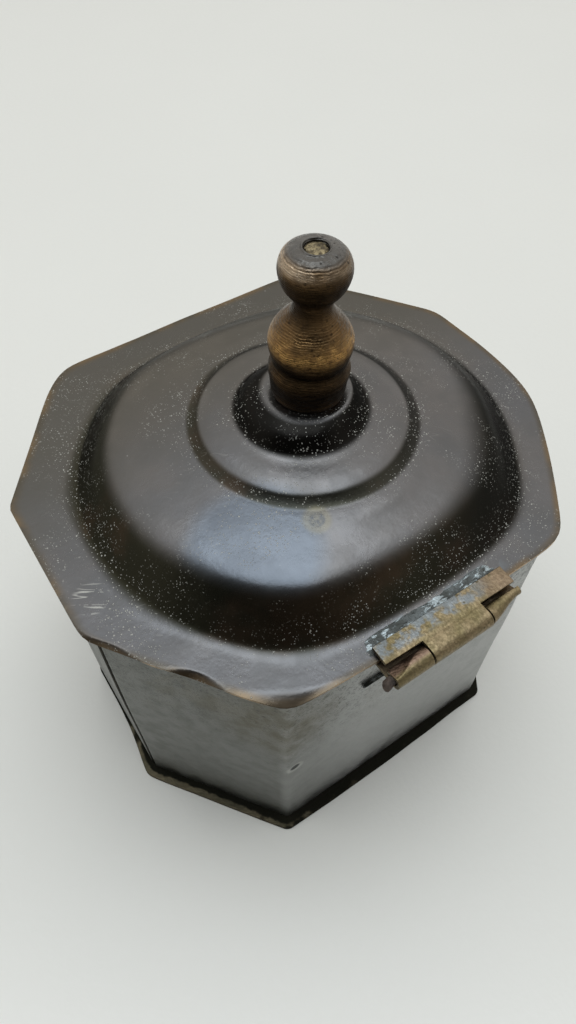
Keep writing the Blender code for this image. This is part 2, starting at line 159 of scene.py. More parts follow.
# %% A flowing line through a few points
def smooth_line(points, steps):
    """Catmull-Rom curve through the points, with so many steps between two of them."""
    points = [Vector(p) for p in points]
    padded = [2 * points[0] - points[1], *points, 2 * points[-1] - points[-2]]
    line = []
    for a, b, c, d in zip(padded, padded[1:], padded[2:], padded[3:]):
        for i in range(steps):
            t = i / steps
            line.append(
                0.5 * (2 * b + (c - a) * t + (2 * a - 5 * b + 4 * c - d) * t * t)
                + 0.5 * (3 * b - a - 3 * c + d) * t**3
            )
    line.append(points[-1])
    return line


def ease(value, low, high):
    """0 below low, 1 above high, and a smooth step between them."""
    t = min(1.0, max(0.0, (value - low) / (high - low)))
    return t * t * (3 - 2 * t)


def hump(value, middle, width):
    """1 at the middle, falling away smoothly on both sides of it."""
    return exp(-(((value - middle) / width) ** 2))


def hump_towards(point, bearing, width):
    """1 where a point lies at a bearing from the middle, falling away to both sides."""
    return hump(turn_between(atan2(point.y, point.x), bearing), 0, width)


def spun(line, steps, centre=(0, 0, 0)):
    """A line of (radius, height) points spun round a vertical axis into a surface."""
    bm = bmesh.new()
    verts = [bm.verts.new((centre[0] + p[0], centre[1], p[1])) for p in line]
    edges = [bm.edges.new(pair) for pair in zip(verts, verts[1:])]
    bmesh.ops.spin(
        bm,
        geom=verts + edges,
        cent=centre,
        axis=(0, 0, 1),
        angle=2 * pi,
        steps=steps,
        use_merge=True,
    )
    bmesh.ops.remove_doubles(bm, verts=bm.verts, dist=1e-6)
    bmesh.ops.recalc_face_normals(bm, faces=bm.faces)
    return bm


def ripple(point, size, seed=0.0):
    """Smooth noise about -1 to 1, with lumps of about the given size."""
    return noise.noise(Vector(point) / size + Vector((seed, 2 * seed, -seed)))


# %% [markdown]
# ## Shader building blocks
# The same marks show on every piece: cloudy patina, dust specks, pits, fine scratches and worn
# edges. Each is a node group, made once, with its sizes as inputs. A group only hands out masks,
# and each material decides what its masks do to colour, roughness and bump.

# %% A short way to wire nodes
def node(tree, kind, settings=None, **links):
    """A node with its settings and inputs: a number or colour is set, and a socket is linked."""
    made = tree.nodes.new("ShaderNode" + kind)
    for key, value in (settings or {}).items():
        setattr(made, key, value)
    for key, value in links.items():
        name = key.replace("_", " ")
        sockets = [s for s in made.inputs if s.name == name and s.enabled]
        socket = sockets[0] if sockets else made.inputs[int(key[1:])]
        if isinstance(value, bpy.types.NodeSocket):
            tree.links.new(value, socket)
        else:
            socket.default_value = value
    return made


def maths(tree, operation, a, b=0.0, clamp=False):
    return node(tree, "Math", {"operation": operation, "use_clamp": clamp}, _0=a, _1=b).outputs[0]


def step_between(tree, value, low, high, out_low=0.0, out_high=1.0):
    """Maps low..high to out_low..out_high along a smooth step."""
    made = node(tree, "MapRange", {"interpolation_type": "SMOOTHSTEP"}, Value=value)
    made.inputs["From Min"].default_value = low
    made.inputs["From Max"].default_value = high
    made.inputs["To Min"].default_value = out_low
    made.inputs["To Max"].default_value = out_high
    return made.outputs["Result"]


def blend_colour(tree, mask, a, b, mode="MIX"):
    made = node(tree, "Mix", {"data_type": "RGBA", "blend_type": mode})
    for key, value in zip(("Factor", "A", "B"), (mask, a, b)):
        kind = "VALUE" if key == "Factor" else "RGBA"
        socket = next(s for s in made.inputs if s.name == key and s.type == kind)
        if isinstance(value, bpy.types.NodeSocket):
            tree.links.new(value, socket)
        elif kind == "RGBA":
            socket.default_value = (*value, 1.0)
        else:
            socket.default_value = value
    return next(s for s in made.outputs if s.type == "RGBA")


def tint(tree, colour, mask, share, tone):
    """Lays a tone over the colour where the mask is, and at most by the given share."""
    return blend_colour(tree, maths(tree, "MULTIPLY", mask, share), colour, tone)


def measure(tree, operation, a, b):
    """A vector operation that gives a number, such as DISTANCE or DOT_PRODUCT."""
    return node(tree, "VectorMath", {"operation": operation}, _0=a, _1=b).outputs["Value"]


def new_group(name, inputs, outputs=("Mask",)):
    """An empty node group with float inputs and outputs, and its coordinates ready to use."""
    group = bpy.data.node_groups.new(name, "ShaderNodeTree")
    for key, value in inputs.items():
        made = group.interface.new_socket(key, in_out="INPUT", socket_type="NodeSocketFloat")
        made.default_value = value
    for key in outputs:
        group.interface.new_socket(key, in_out="OUTPUT", socket_type="NodeSocketFloat")
    here = node(group, "TexCoord").outputs["Object"]
    source = group.nodes.new("NodeGroupInput").outputs
    return group, source, group.nodes.new("NodeGroupOutput"), here


def use(tree, group, out="Mask", **values):
    """Places a group in a material and returns one of its outputs."""
    made = tree.nodes.new("ShaderNodeGroup")
    made.node_tree = group
    for key, value in values.items():
        socket = made.inputs[key.replace("_", " ")]
        if isinstance(value, bpy.types.NodeSocket):
            tree.links.new(value, socket)
        else:
            socket.default_value = value
    return made.outputs[out]


# %% [markdown]
# ### Clouds
# Patina never has one tone. Two noises of different size, added and stretched in contrast, give
# the slow drift of tone that oxide and handling leave.

# %% Group: clouds
CLOUDS, source, sink, here = new_group(
    "clouds", {"Size": 0.01, "Low": 0.4, "High": 0.6, "Seed": 0.0}
)
scale = maths(CLOUDS, "DIVIDE", 1.0, source["Size"])
moved = node(CLOUDS, "VectorMath", {"operation": "ADD"}, _0=here, _1=source["Seed"]).outputs[0]
cloud = node(CLOUDS, "TexNoise", Vector=moved, Scale=scale, Detail=5.0, Roughness=0.55)
tone = node(CLOUDS, "MapRange", {"interpolation_type": "SMOOTHSTEP"}, Value=cloud.outputs["Fac"])
CLOUDS.links.new(source["Low"], tone.inputs["From Min"])
CLOUDS.links.new(source["High"], tone.inputs["From Max"])
CLOUDS.links.new(tone.outputs["Result"], sink.inputs["Mask"])

# %% [markdown]
# ### Specks
# Dust and pits are scattered dots. A Voronoi texture gives one random point in each cell. The dot
# is drawn where the distance to that point is small, and the cell's random colour decides whether
# it is there at all and how big it is, so the dots don't look like a grid.

# %% Group: specks
SPECKS, source, sink, here = new_group(
    "specks", {"Size": 0.0006, "Amount": 0.3, "Radius": 0.3, "Seed": 0.0}
)
scale = maths(SPECKS, "DIVIDE", 1.0, source["Size"])
moved = node(SPECKS, "VectorMath", {"operation": "ADD"}, _0=here, _1=source["Seed"]).outputs[0]
finer = maths(SPECKS, "MULTIPLY", scale, 1.6)
warp = node(SPECKS, "TexNoise", Vector=moved, Scale=finer, Detail=1.0)
bent = node(SPECKS, "VectorMath", {"operation": "SCALE"}, _0=warp.outputs["Color"])
SPECKS.links.new(maths(SPECKS, "MULTIPLY", source["Size"], 0.5), bent.inputs["Scale"])
moved = node(SPECKS, "VectorMath", {"operation": "ADD"}, _0=moved, _1=bent.outputs[0]).outputs[0]
cells = node(SPECKS, "TexVoronoi", Vector=moved, Scale=scale)
dice = node(SPECKS, "SeparateColor", Color=cells.outputs["Color"])
there = maths(SPECKS, "LESS_THAN", dice.outputs["Red"], source["Amount"])
reach = maths(SPECKS, "MULTIPLY", source["Radius"], dice.outputs["Green"])
inside = maths(SPECKS, "SUBTRACT", reach, cells.outputs["Distance"])
dot = step_between(SPECKS, inside, 0.0, 0.08)
SPECKS.links.new(maths(SPECKS, "MULTIPLY", dot, there), sink.inputs["Mask"])

# %% [markdown]
# ### Scratches
# A scratch is a thin line, so the coordinates are squeezed along one axis before a noise is read.
# Where that noise crosses its middle value there is a thin thread, and a second noise breaks the
# threads into short lengths.

# %% Group: scratches
SCRATCHES, source, sink, here = new_group(
    "scratches", {"Size": 0.004, "Squeeze": 0.1, "Turn": 0.0, "Width": 0.01, "Amount": 0.5}
)
turned_to = node(SCRATCHES, "VectorRotate", {"rotation_type": "Z_AXIS"}, Vector=here)
SCRATCHES.links.new(source["Turn"], turned_to.inputs["Angle"])
squeeze = node(SCRATCHES, "CombineXYZ", X=source["Squeeze"], Y=1.0, Z=1.0)
along = node(
    SCRATCHES,
    "VectorMath",
    {"operation": "MULTIPLY"},
    _0=turned_to.outputs[0],
    _1=squeeze.outputs[0],
)
scale = maths(SCRATCHES, "DIVIDE", 1.0, source["Size"])
thread = node(SCRATCHES, "TexNoise", Vector=along.outputs[0], Scale=scale, Detail=2.0)
away = maths(SCRATCHES, "ABSOLUTE", maths(SCRATCHES, "SUBTRACT", thread.outputs["Fac"], 0.5))
thin = maths(SCRATCHES, "SUBTRACT", 1.0, maths(SCRATCHES, "DIVIDE", away, source["Width"]), True)
broken = node(SCRATCHES, "TexNoise", Vector=here, Scale=maths(SCRATCHES, "MULTIPLY", scale, 0.7))
keep = maths(SCRATCHES, "LESS_THAN", broken.outputs["Fac"], source["Amount"])
SCRATCHES.links.new(maths(SCRATCHES, "MULTIPLY", thin, keep), sink.inputs["Mask"])

# %% [markdown]
# ### Metal
# All the metals share one start: a Principled shader with a colour, a metallic value and a
# roughness. `metal_base` makes it and a chain of bumps goes into its normal.

# %% The start of every metal
def metal_base(name, metallic=1.0, roughness=0.4):
    material = bpy.data.materials.new(name)
    material.use_nodes = True
    tree = material.node_tree
    shader = tree.nodes["Principled BSDF"]
    shader.inputs["Metallic"].default_value = metallic
    shader.inputs["Roughness"].default_value = roughness
    return material, tree, shader


def add_bumps(tree, shader, *layers):
    """Each layer is (height socket, depth in metres). They add up from the first to the last."""
    normal = None
    for height, depth in layers:
        bump = node(tree, "Bump", Height=height, Distance=depth, Strength=1.0)
        if normal:
            tree.links.new(normal, bump.inputs["Normal"])
        normal = bump.outputs["Normal"]
    tree.links.new(normal, shader.inputs["Normal"])


def attribute(tree, name):
    return node(tree, "Attribute", {"attribute_name": name}).outputs["Fac"]


def connect(tree, shader, **sockets):
    for key, value in sockets.items():
        tree.links.new(value, shader.inputs[key.replace("_", " ")])


# %% [markdown]
# ## Finishes
# ### The lid's dark patina, with painted shade and light
# The lid is brass gone brown-black with age. It is still metal, so it mirrors the room softly:
# the flats look grey and the slopes black. Its slopes, step and boss are also painted near black
# as shade, the far slope gets a painted pale sheen, and part of the shoulder a painted bluish
# reflection. Dust lies thickest in the hollows, and the rim is rubbed back towards brass. The mesh
# carries where its rim and hollows are, as the attributes `rim` and `hollow`.

# %% Lid material
# A stain, a nail hole whose dark inside is painted as shade, a knocked place, and where a bluish
# reflection is painted on the shoulder, as (x, y).
STAIN_SPOT = (11.6 * MM, 28.3 * MM)
FLANGE_HOLE = (-23.6 * MM, 56.0 * MM)
KNOCKED_AT = (57.0 * MM, 12.0 * MM)
BLUE_REFLECTION_PLACE = (26.0 * MM, 27.0 * MM)


def round_spot(tree, here, place, radius):
    """1 near a place in plan, fading out over the outer third of the radius."""
    flat = node(tree, "VectorMath", {"operation": "MULTIPLY"}, _0=here, _1=(1, 1, 0)).outputs[0]
    away = measure(tree, "DISTANCE", flat, (*place, 0))
    return step_between(tree, away, radius, radius * 0.65)


def lid_metal():
    material, tree, shader = metal_base("patina_and_painted_light", roughness=0.3)
    rim, hollow, painted_dark_slope, painted_dark_boss, tinned, lip = (
        attribute(tree, key) for key in ("rim", "hollow", "painted_dark_slope", "painted_dark_boss", "tinned", "lip")
    )
    here = node(tree, "TexCoord").outputs["Object"]
    place = node(tree, "SeparateXYZ", Vector=here)
    across, along = place.outputs["X"], place.outputs["Y"]
    drift = use(tree, CLOUDS, Size=0.030, Low=0.35, High=0.65)
    mottle = use(tree, CLOUDS, Size=0.007, Low=0.35, High=0.7, Seed=3.0)
    grain = use(tree, CLOUDS, Size=0.0010, Low=0.3, High=0.7, Seed=5.0)
    colour = blend_colour(tree, drift, (0.106, 0.104, 0.106), (0.120, 0.112, 0.108))
    colour = tint(tree, colour, mottle, 0.3, (0.076, 0.075, 0.072))
    warm = step_between(tree, along, 15 * MM, -35 * MM, 0.0, 0.75)
    colour = blend_colour(tree, warm, colour, (0.083, 0.076, 0.062))
    # Painted reflection: a bluish tint on the shoulder, as of the light overhead.
    painted_blue_reflection = round_spot(tree, here, BLUE_REFLECTION_PLACE, 17 * MM)
    colour = blend_colour(tree, painted_blue_reflection, colour, (0.101, 0.110, 0.124))
    # Painted shade: the dome's slopes and the step are coloured near black, darkest on the far
    # flank, as the dark they mirror.
    brown = use(tree, CLOUDS, Size=0.022, Low=0.46, High=0.66, Seed=6.0)
    side = blend_colour(tree, brown, (0.024, 0.023, 0.014), (0.048, 0.033, 0.020))
    far = step_between(tree, across, 5 * MM, -25 * MM, 0.0, 0.85)
    side = blend_colour(tree, far, side, (0.006, 0.006, 0.005))
    colour = blend_colour(tree, maths(tree, "MULTIPLY", painted_dark_slope, 0.95), colour, side)
    # Painted shade: the boss's concave slope is coloured near black.
    colour = tint(tree, colour, painted_dark_boss, 0.96, (0.006, 0.0055, 0.0045))
    # Painted highlight: a pale sheen painted on the dome's far slope.
    painted_far_sheen = maths(tree, "MULTIPLY", attribute(tree, "painted_far_sheen"), 0.8)
    colour = blend_colour(tree, painted_far_sheen, colour, (0.27, 0.265, 0.25))
    worn = use(tree, CLOUDS, Size=0.010, Low=0.40, High=0.62, Seed=9.0)
    worn = maths(tree, "MULTIPLY", rim, worn)
    colour = tint(tree, colour, rim, 0.7, (0.074, 0.060, 0.040))
    colour = tint(tree, colour, worn, 0.5, (0.19, 0.125, 0.065))
    colour = tint(tree, colour, lip, 0.85, (0.100, 0.074, 0.048))
    halo = round_spot(tree, here, STAIN_SPOT, 3.6 * MM)
    spot = round_spot(tree, here, STAIN_SPOT, 2.0 * MM)
    colour = tint(tree, colour, halo, 0.35, (0.16, 0.14, 0.09))
    spot = maths(tree, "MULTIPLY", spot, grain)
    colour = tint(tree, colour, spot, 0.7, (0.045, 0.052, 0.066))
    patch = use(tree, CLOUDS, Size=0.0045, Low=0.47, High=0.53, Seed=1.7)
    patch = maths(tree, "MULTIPLY", tinned, patch)
    colour = tint(tree, colour, patch, 0.6, (0.15, 0.17, 0.18))
    few = use(tree, SPECKS, Size=0.0012, Amount=0.10, Radius=0.20)
    fine = use(tree, SPECKS, Size=0.0006, Amount=0.40, Radius=0.38, Seed=0.4)
    finest = use(tree, SPECKS, Size=0.00038, Amount=0.50, Radius=0.42, Seed=0.9)
    where = use(tree, CLOUDS, Size=0.014, Low=0.47, High=0.62, Seed=7.0)
    loose = maths(tree, "MULTIPLY", where, 0.7)
    lying = maths(tree, "ADD", loose, maths(tree, "MULTIPLY", hollow, 0.9))
    dust = maths(tree, "MULTIPLY", maths(tree, "MAXIMUM", fine, finest), lying, True)
    dust = maths(tree, "MAXIMUM", dust, maths(tree, "MULTIPLY", few, 0.5))
    marks = use(tree, SCRATCHES, Size=0.005, Squeeze=0.12, Turn=0.6, Width=0.006, Amount=0.36)
    light = maths(tree, "MAXIMUM", dust, maths(tree, "MULTIPLY", marks, 0.12))
    knocks = use(tree, SCRATCHES, Size=0.0018, Squeeze=0.14, Turn=0.6, Width=0.035, Amount=0.55)
    knocked = round_spot(tree, here, KNOCKED_AT, 4.5 * MM)
    light = maths(tree, "MAXIMUM", light, maths(tree, "MULTIPLY", knocks, knocked))
    light = maths(tree, "MULTIPLY", light, 0.85)
    # Painted shade: the nail hole is only a black spot, the dark inside a hole.
    hole = round_spot(tree, here, FLANGE_HOLE, 0.5 * MM)
    colour = blend_colour(tree, light, colour, (0.42, 0.41, 0.37))
    colour = blend_colour(tree, hole, colour, (0.003, 0.003, 0.003))
    shader.inputs["Specular Tint"].default_value = (0.55, 0.55, 0.55, 1.0)
    rough = step_between(tree, mottle, 0.0, 1.0, 0.27, 0.34)
    rough = maths(tree, "ADD", rough, maths(tree, "MULTIPLY", light, 0.35), True)
    metallic = maths(tree, "SUBTRACT", 1.0, maths(tree, "MULTIPLY", light, 0.9), True)
    connect(tree, shader, Base_Color=colour, Roughness=rough, Metallic=metallic)
    waves = use(tree, CLOUDS, Size=0.012, Low=0.0, High=1.0, Seed=11.0)
    add_bumps(tree, shader, (waves, 0.14 * MM), (grain, 0.008 * MM), (dust, 0.05 * MM))
    return material


PATINA_AND_PAINTED_LIGHT = lid_metal()

# %% [markdown]
# ### The rim's bare brass and the lid's underside
# A rim is rubbed by every hand that opens the lid, so it shows a warmer metal. The underside was
# never handled. It is dull brown with fewer marks.

# %% Rim and underside
def plain_metal(name, light, dark, roughness, size=0.007, seed=0.0):
    """Two cloudy tones, fine grain and a few dark specks: the quiet metal of hidden surfaces."""
    material, tree, shader = metal_base(name, roughness=roughness)
    drift = use(tree, CLOUDS, Size=size, Low=0.35, High=0.65, Seed=seed)
    grain = use(tree, CLOUDS, Size=0.0008, Low=0.3, High=0.7, Seed=seed + 2)
    spots = use(tree, SPECKS, Size=0.0016, Amount=0.2, Radius=0.35, Seed=seed)
    colour = blend_colour(tree, drift, dark, light)
    colour = tint(tree, colour, spots, 0.6, (0.04, 0.036, 0.03))
    rough = step_between(tree, grain, 0.0, 1.0, roughness - 0.05, roughness + 0.1)
    connect(tree, shader, Base_Color=colour, Roughness=rough)
    add_bumps(tree, shader, (drift, 0.12 * MM), (grain, 0.03 * MM))
    return material


RIM_BRASS = plain_metal("rim_brass", (0.42, 0.28, 0.14), (0.2, 0.14, 0.085), 0.38, seed=4.0)
UNDERSIDE = plain_metal("underside", (0.17, 0.125, 0.078), (0.11, 0.085, 0.058), 0.5, seed=6.0)

# %% [markdown]
# ## The lid
# The real lid was raised from one sheet with hammers over stakes. Here its section is drawn once
# and spun into a round lid, as on a lathe. Then the round shape is pushed out into the octagon,
# more at the flange than at the dome, and last come the marks of the hand: waves, a lifted edge
# and a corner bent down. A grid of quads from `spin` takes all of that evenly.

# %% The lid's section
# Mean radius and rise above the flange, in millimetres, from the rim to the stud's hole.
LID_SECTION = [
    (59.0, 0.0), (58.4, 0.0), (57.6, 0.0), (56.5, 0.0), (54.0, 0.0), (51.9, 0.1), (50.4, 0.7),
    (49.0, 2.0), (47.2, 4.1), (45.2, 6.6), (43.2, 8.6), (41.4, 9.7), (39.0, 10.4), (35.5, 11.0),
    (31.0, 11.8), (27.8, 12.3), (26.4, 12.5), (25.4, 12.9), (24.4, 13.5), (23.6, 14.05),
    (22.6, 14.45), (21.0, 14.9), (19.0, 15.25), (17.2, 15.5), (15.8, 15.8), (14.6, 16.2),
    (13.4, 17.4), (12.0, 18.9), (10.6, 19.9), (9.6, 20.3), (8.8, 20.3), (7.6, 20.2),
    (5.0, 20.2), (2.5, 20.2),
]
LID_STEPS = 256
LID_RIM = LID_SECTION[0][0]
# How sharp each corner of the flange was cut, anticlockwise from the wall's seam.
CORNER_SHARPNESS = [110, 42, 34, 30, 90, 60, 60, 260]
# How far each side of the flange bulges, from the +X side anticlockwise.
SIDE_BULGES = [0.0, 0.0, 1.3, 0.8, 1.4, 0.4, 0.2, 0.0]
BULGE_SPREAD = 0.28
# One corner was snipped off: how far in from its point.
SNIPPED_CORNER, SNIP = 6, 1.6
# The place of the middle at some mean radii, in millimetres: the hammer wandered as it went in.
MIDDLES = [
    (9.0, -3.6, 2.7), (13.0, -1.5, 2.9), (17.0, -1.9, 3.1), (27.0, -2.2, 3.2),
    (36.0, -1.6, 2.2), (52.0, -1.3, 1.9), (59.0, 0.0, 0.0),
]


def sharpness_at(angle):
    """The sharpness of the nearest corner, blended towards its neighbour between them."""
    weights = [hump(turn_between(angle, c), 0, 0.2) + 1e-6 for c in CORNER_ANGLES]
    return sum(w * s for w, s in zip(weights, CORNER_SHARPNESS)) / sum(weights)


def outline_radius(angle, softness):
    """Distance from the middle to the lid's outline. softness rounds the corners off."""
    power = sharpness_at(angle) * (1 - softness) + 11 * softness
    snipped = corners()[SNIPPED_CORNER]
    sides = list(zip(SIDE_ANGLES, SIDE_DISTANCES, SIDE_BULGES))
    sides.append((CORNER_ANGLES[SNIPPED_CORNER], snipped.length - SNIP * MM * (1 - softness), 0.0))
    total = 0.0
    for normal, distance, bulge in sides:
        turn = turn_between(angle, normal)
        if cos(turn) < 0.2:
            continue
        swell = bulge * MM * hump(turn, 0, BULGE_SPREAD) * (1 - softness)
        total += (cos(turn) * MEAN_HALF / (distance + swell)) ** power
    return MEAN_HALF * total ** (-1 / power)


def middle_at(radius):
    """Where the middle of the lid lies for a mean radius."""
    r = radius / MM
    if r <= MIDDLES[0][0]:
        return Vector(MIDDLES[0][1:]) * MM
    for (low, *a), (high, *b) in zip(MIDDLES, MIDDLES[1:]):
        if r <= high:
            return Vector(a).lerp(Vector(b), ease(r, low, high)) * MM
    return Vector((0.0, 0.0))


def roundness_at(radius):
    """How round the lid is at a mean radius: none at the rim, and a full circle at the step."""
    r = radius / MM
    if r > 50:
        return 0.25 * ease(r, 59, 50)
    return 0.25 + 0.35 * (50 - r) / 15 if r > 35 else 0.6 + 0.4 * ease(r, 35, 28.5)


# %% From round to eight-sided
def press_to_octagon(point):
    """Moves a point of the round lid to its place on the octagonal one."""
    radius = hypot(point.x, point.y)
    angle = atan2(point.y, point.x)
    round_share = roundness_at(radius)
    inset = MEAN_HALF - radius
    softness = ease(radius / MM, 58, 50)
    edge = outline_radius(angle, softness)
    x = edge * cos(angle) * (HALF_LENGTH - inset) / HALF_LENGTH
    y = edge * sin(angle) * (HALF_WIDTH - inset) / HALF_WIDTH
    flat = Vector((x, y)).lerp(point.xy, round_share) + middle_at(radius)
    return Vector((flat.x, flat.y, point.z))


def turned_down(point, radius):
    """The rim is bent down in two bows along one short side, and at the corner after them."""
    r = radius / MM
    angle = atan2(point.y, point.x) % (2 * pi)
    low, high = CORNER_ANGLES[0], CORNER_ANGLES[1]
    along = (angle - low) / (high - low)
    first = hump(along, 0.10, 0.16)
    second = hump(along, 0.56, 0.12)
    corner = hump(along, 1.0, 0.20)
    bends = ((first, 1.0, 1.25), (second, 0.95, 1.7), (corner, 0.45, 2.8))
    drop = 0.0
    for there, strength, reach in bends:
        drop += strength * max(0.0, r - LID_RIM + reach * there) * there
    return drop * MM


def hammered(point, radius):
    """Slow waves all over, stronger towards the flange."""
    r = radius / MM
    slow = 0.22 * ripple(point.xy.to_3d(), 26 * MM, 1.0) * ease(r, 26, 52)
    flange = 0.22 * ripple(point.xy.to_3d(), 15 * MM, 5.0) * ease(r, 52, 59)
    dents = 0.03 * ripple(point.xy.to_3d(), 6 * MM, 9.0) * ease(r, 10, 30)
    return (slow + dents - abs(flange) * 0.5) * MM


# %% Marks for the materials
# Bearings from the middle: where hands wiped the lid, the side behind that, and the flank where the
# painted dark slope is widest.
WIPED_SIDE = radians(58)
FAR_SIDE = WIPED_SIDE + pi
PAINTED_DARK_FLANK = radians(140)


def mark(bm, name, values):
    """Stores a value on each point, for the material to read."""
    layer = bm.verts.layers.float.new(name)
    for vert, value in zip(bm.verts, values):
        vert[layer] = value


def lid_hollow(point, radius):
    """1 in the grooves where the section turns upwards, less on the side that was wiped."""
    r = radius / MM
    grooves = ((50.0, 2.6), (26.6, 1.6), (15.0, 1.6), (8.6, 0.7))
    wiped = hump_towards(point, WIPED_SIDE, 0.55)
    return max(hump(r, place, width) for place, width in grooves) * (1 - 0.8 * wiped)


def lid_painted_dark_slope(point, radius):
    """Painted shade: 1 on the dome's side and on the step, which are painted near black, and wider
    on one flank.
    """
    r = radius / MM
    flank = hump_towards(point, PAINTED_DARK_FLANK, 0.65)
    behind = hump_towards(point, FAR_SIDE, 0.95)
    dome = ease(r, 41.0 - 6 * flank, 44.5 - 2 * flank) * ease(r, 51.8, 50.2)
    step = ease(r, 23.0, 24.2) * ease(r, 27.0, 25.8)
    return max(dome, 0.9 * step) * (1 - 0.95 * behind)


def lid_painted_far_sheen(point, radius):
    """Painted highlight: 1 on the dome's far slope, which is painted pale as a sheen."""
    r = radius / MM
    behind = hump_towards(point, FAR_SIDE, 0.85)
    return behind * ease(r, 42.5, 45.5) * ease(r, 51.5, 49.5)


def far_slope(point, radius):
    """How far the far side of the dome lies below the section, because it falls more gently."""
    r = radius / MM
    behind = hump_towards(point, FAR_SIDE, 0.9)
    return 1.6 * behind * hump(r, 42.5, 3.6) * MM


def lid_tinned(point):
    """Where solder was wiped over the flange, inside the hinge leaf."""
    x, y = point.x / MM, point.y / MM
    across = ease(y, 50.2, 51.4) * ease(y, 55.0, 53.5)
    along = ease(x, 20, 8) * ease(x, -22, -17)
    return across * along


# %% Raise the lid
def raise_lid():
    line = [(r * MM, FLANGE_TOP + z * MM) for r, z in smooth_line(LID_SECTION, 4)]
    bm = spun(line, LID_STEPS)
    radii = [hypot(vert.co.x, vert.co.y) for vert in bm.verts]
    for vert, radius in zip(bm.verts, radii):
        vert.co = press_to_octagon(vert.co)
        drop = turned_down(vert.co, radius)
        vert.co.z += hammered(vert.co, radius) - drop - far_slope(vert.co, radius)
        vert.co.xy -= vert.co.xy.normalized() * drop * 0.45
    drops = [turned_down(vert.co, radius) for vert, radius in zip(bm.verts, radii)]
    mark(bm, "rim", [ease(radius / MM, 57.0, 59) for radius in radii])
    # Painted shade: the boss's slope, which the material colours near black.
    mark(bm, "painted_dark_boss", [ease(r / MM, 9.6, 10.6) * ease(r / MM, 16.2, 14.8) for r in radii])
    mark(bm, "lip", [min(1.0, drop / (0.7 * MM)) for drop in drops])
    mark(bm, "hollow", [lid_hollow(v.co, r) for v, r in zip(bm.verts, radii)])
    # Painted shade: where the slopes are coloured near black.
    mark(bm, "painted_dark_slope", [lid_painted_dark_slope(v.co, r) for v, r in zip(bm.verts, radii)])
    mark(bm, "tinned", [lid_tinned(vert.co) for vert in bm.verts])
    # Painted highlight: the pale sheen on the far slope.
    mark(bm, "painted_far_sheen", [lid_painted_far_sheen(v.co, r) for v, r in zip(bm.verts, radii)])
    if sum(f.normal.z for f in bm.faces) < 0:
        bmesh.ops.reverse_faces(bm, faces=bm.faces)
    piece = add_piece(
        "lid_sheet",
        bm,
        LID,
        [PATINA_AND_PAINTED_LIGHT, UNDERSIDE, RIM_BRASS],
        ["lid_shell"],
    )
    add_thickness(piece, SHEET, rim=2, inner=1)
    add_soft_edges(piece, 0.2 * MM)
    return piece


raise_lid()

# %% [markdown]
# ## The finial
# The knob is turned brass: a foot ring, a bulb, a thin neck and a ball with a flat top. The
# turner's tool left fine rings, which catch the light, and black wax and dirt sit in the hollows,
# with painted shade added at the foot and under the ball. The bulb's belly and one side of the
# ball carry wear and a painted highlight.
# The section is spun like the lid's, and the rings are real grooves in the section, because a
# bump alone wouldn't show on the outline.

# %% Turned brass
def turned_brass():
    material, tree, shader = metal_base("turned_brass", roughness=0.3)
    grime_and_shade, rubbed_and_highlit, cap = (attribute(tree, key) for key in ("grime_and_shade", "rubbed_and_highlit", "cap"))
    drift = use(tree, CLOUDS, Size=0.006, Low=0.38, High=0.6, Seed=2.0)
    mottle = use(tree, CLOUDS, Size=0.0022, Low=0.35, High=0.7, Seed=8.0)
    specks = use(tree, SPECKS, Size=0.0009, Amount=0.35, Radius=0.4, Seed=2.2)
    here = node(tree, "TexCoord").outputs["Object"]
    height = node(tree, "SeparateXYZ", Vector=here).outputs["Z"]
    wander = node(tree, "TexNoise", Vector=here, Scale=240.0, Detail=2.0).outputs["Fac"]
    level = maths(tree, "ADD", height, maths(tree, "MULTIPLY", wander, 0.0009))
    rings = maths(tree, "SINE", maths(tree, "MULTIPLY", level, 2 * pi / (0.42 * MM)))
    flat = node(tree, "Mapping", Vector=here)
    flat.inputs["Scale"].default_value = (0.18, 0.18, 1.0)
    streak = node(tree, "TexNoise", Vector=flat.outputs[0], Scale=3800.0, Detail=3.0).outputs["Fac"]
    streak = step_between(tree, streak, 0.5, 0.68)
    colour = blend_colour(tree, drift, (0.055, 0.034, 0.017), (0.115, 0.068, 0.030))
    bright = blend_colour(tree, mottle, (0.42, 0.245, 0.085), (0.26, 0.145, 0.055))
    # Painted highlight: the ball's upper part is made paler where it is bright.
    painted_pale_highlight = step_between(tree, height, 140 * MM, 142 * MM)
    bright = blend_colour(tree, painted_pale_highlight, bright, (0.40, 0.31, 0.22))
    # Wear and painted highlight: bright brass on the bulb's belly and on one side of the ball.
    wear_and_highlight = maths(tree, "MULTIPLY", rubbed_and_highlit, step_between(tree, mottle, 1.0, 0.0, 0.5, 1.0))
    streaks = maths(tree, "MULTIPLY", maths(tree, "MULTIPLY", rubbed_and_highlit, streak), 0.5)
    wear_and_highlight = maths(tree, "ADD", wear_and_highlight, streaks, True)
    colour = blend_colour(tree, wear_and_highlight, colour, bright)
    colour = tint(tree, colour, cap, 0.92, (0.088, 0.085, 0.080))
    # Dirt and painted shade: the hollows, the foot and the ball's underside go near black.
    dirt_and_shade = maths(tree, "MAXIMUM", grime_and_shade, maths(tree, "MULTIPLY", specks, 0.7))
    colour = tint(tree, colour, dirt_and_shade, 0.92, (0.006, 0.0045, 0.003))
    rough = step_between(tree, mottle, 0.0, 1.0, 0.26, 0.4)
    rough = maths(tree, "ADD", rough, maths(tree, "MULTIPLY", dirt_and_shade, 0.15), True)
    connect(tree, shader, Base_Color=colour, Roughness=rough)
    add_bumps(tree, shader, (mottle, 0.12 * MM), (rings, 0.03 * MM), (streak, 0.03 * MM))
    return material


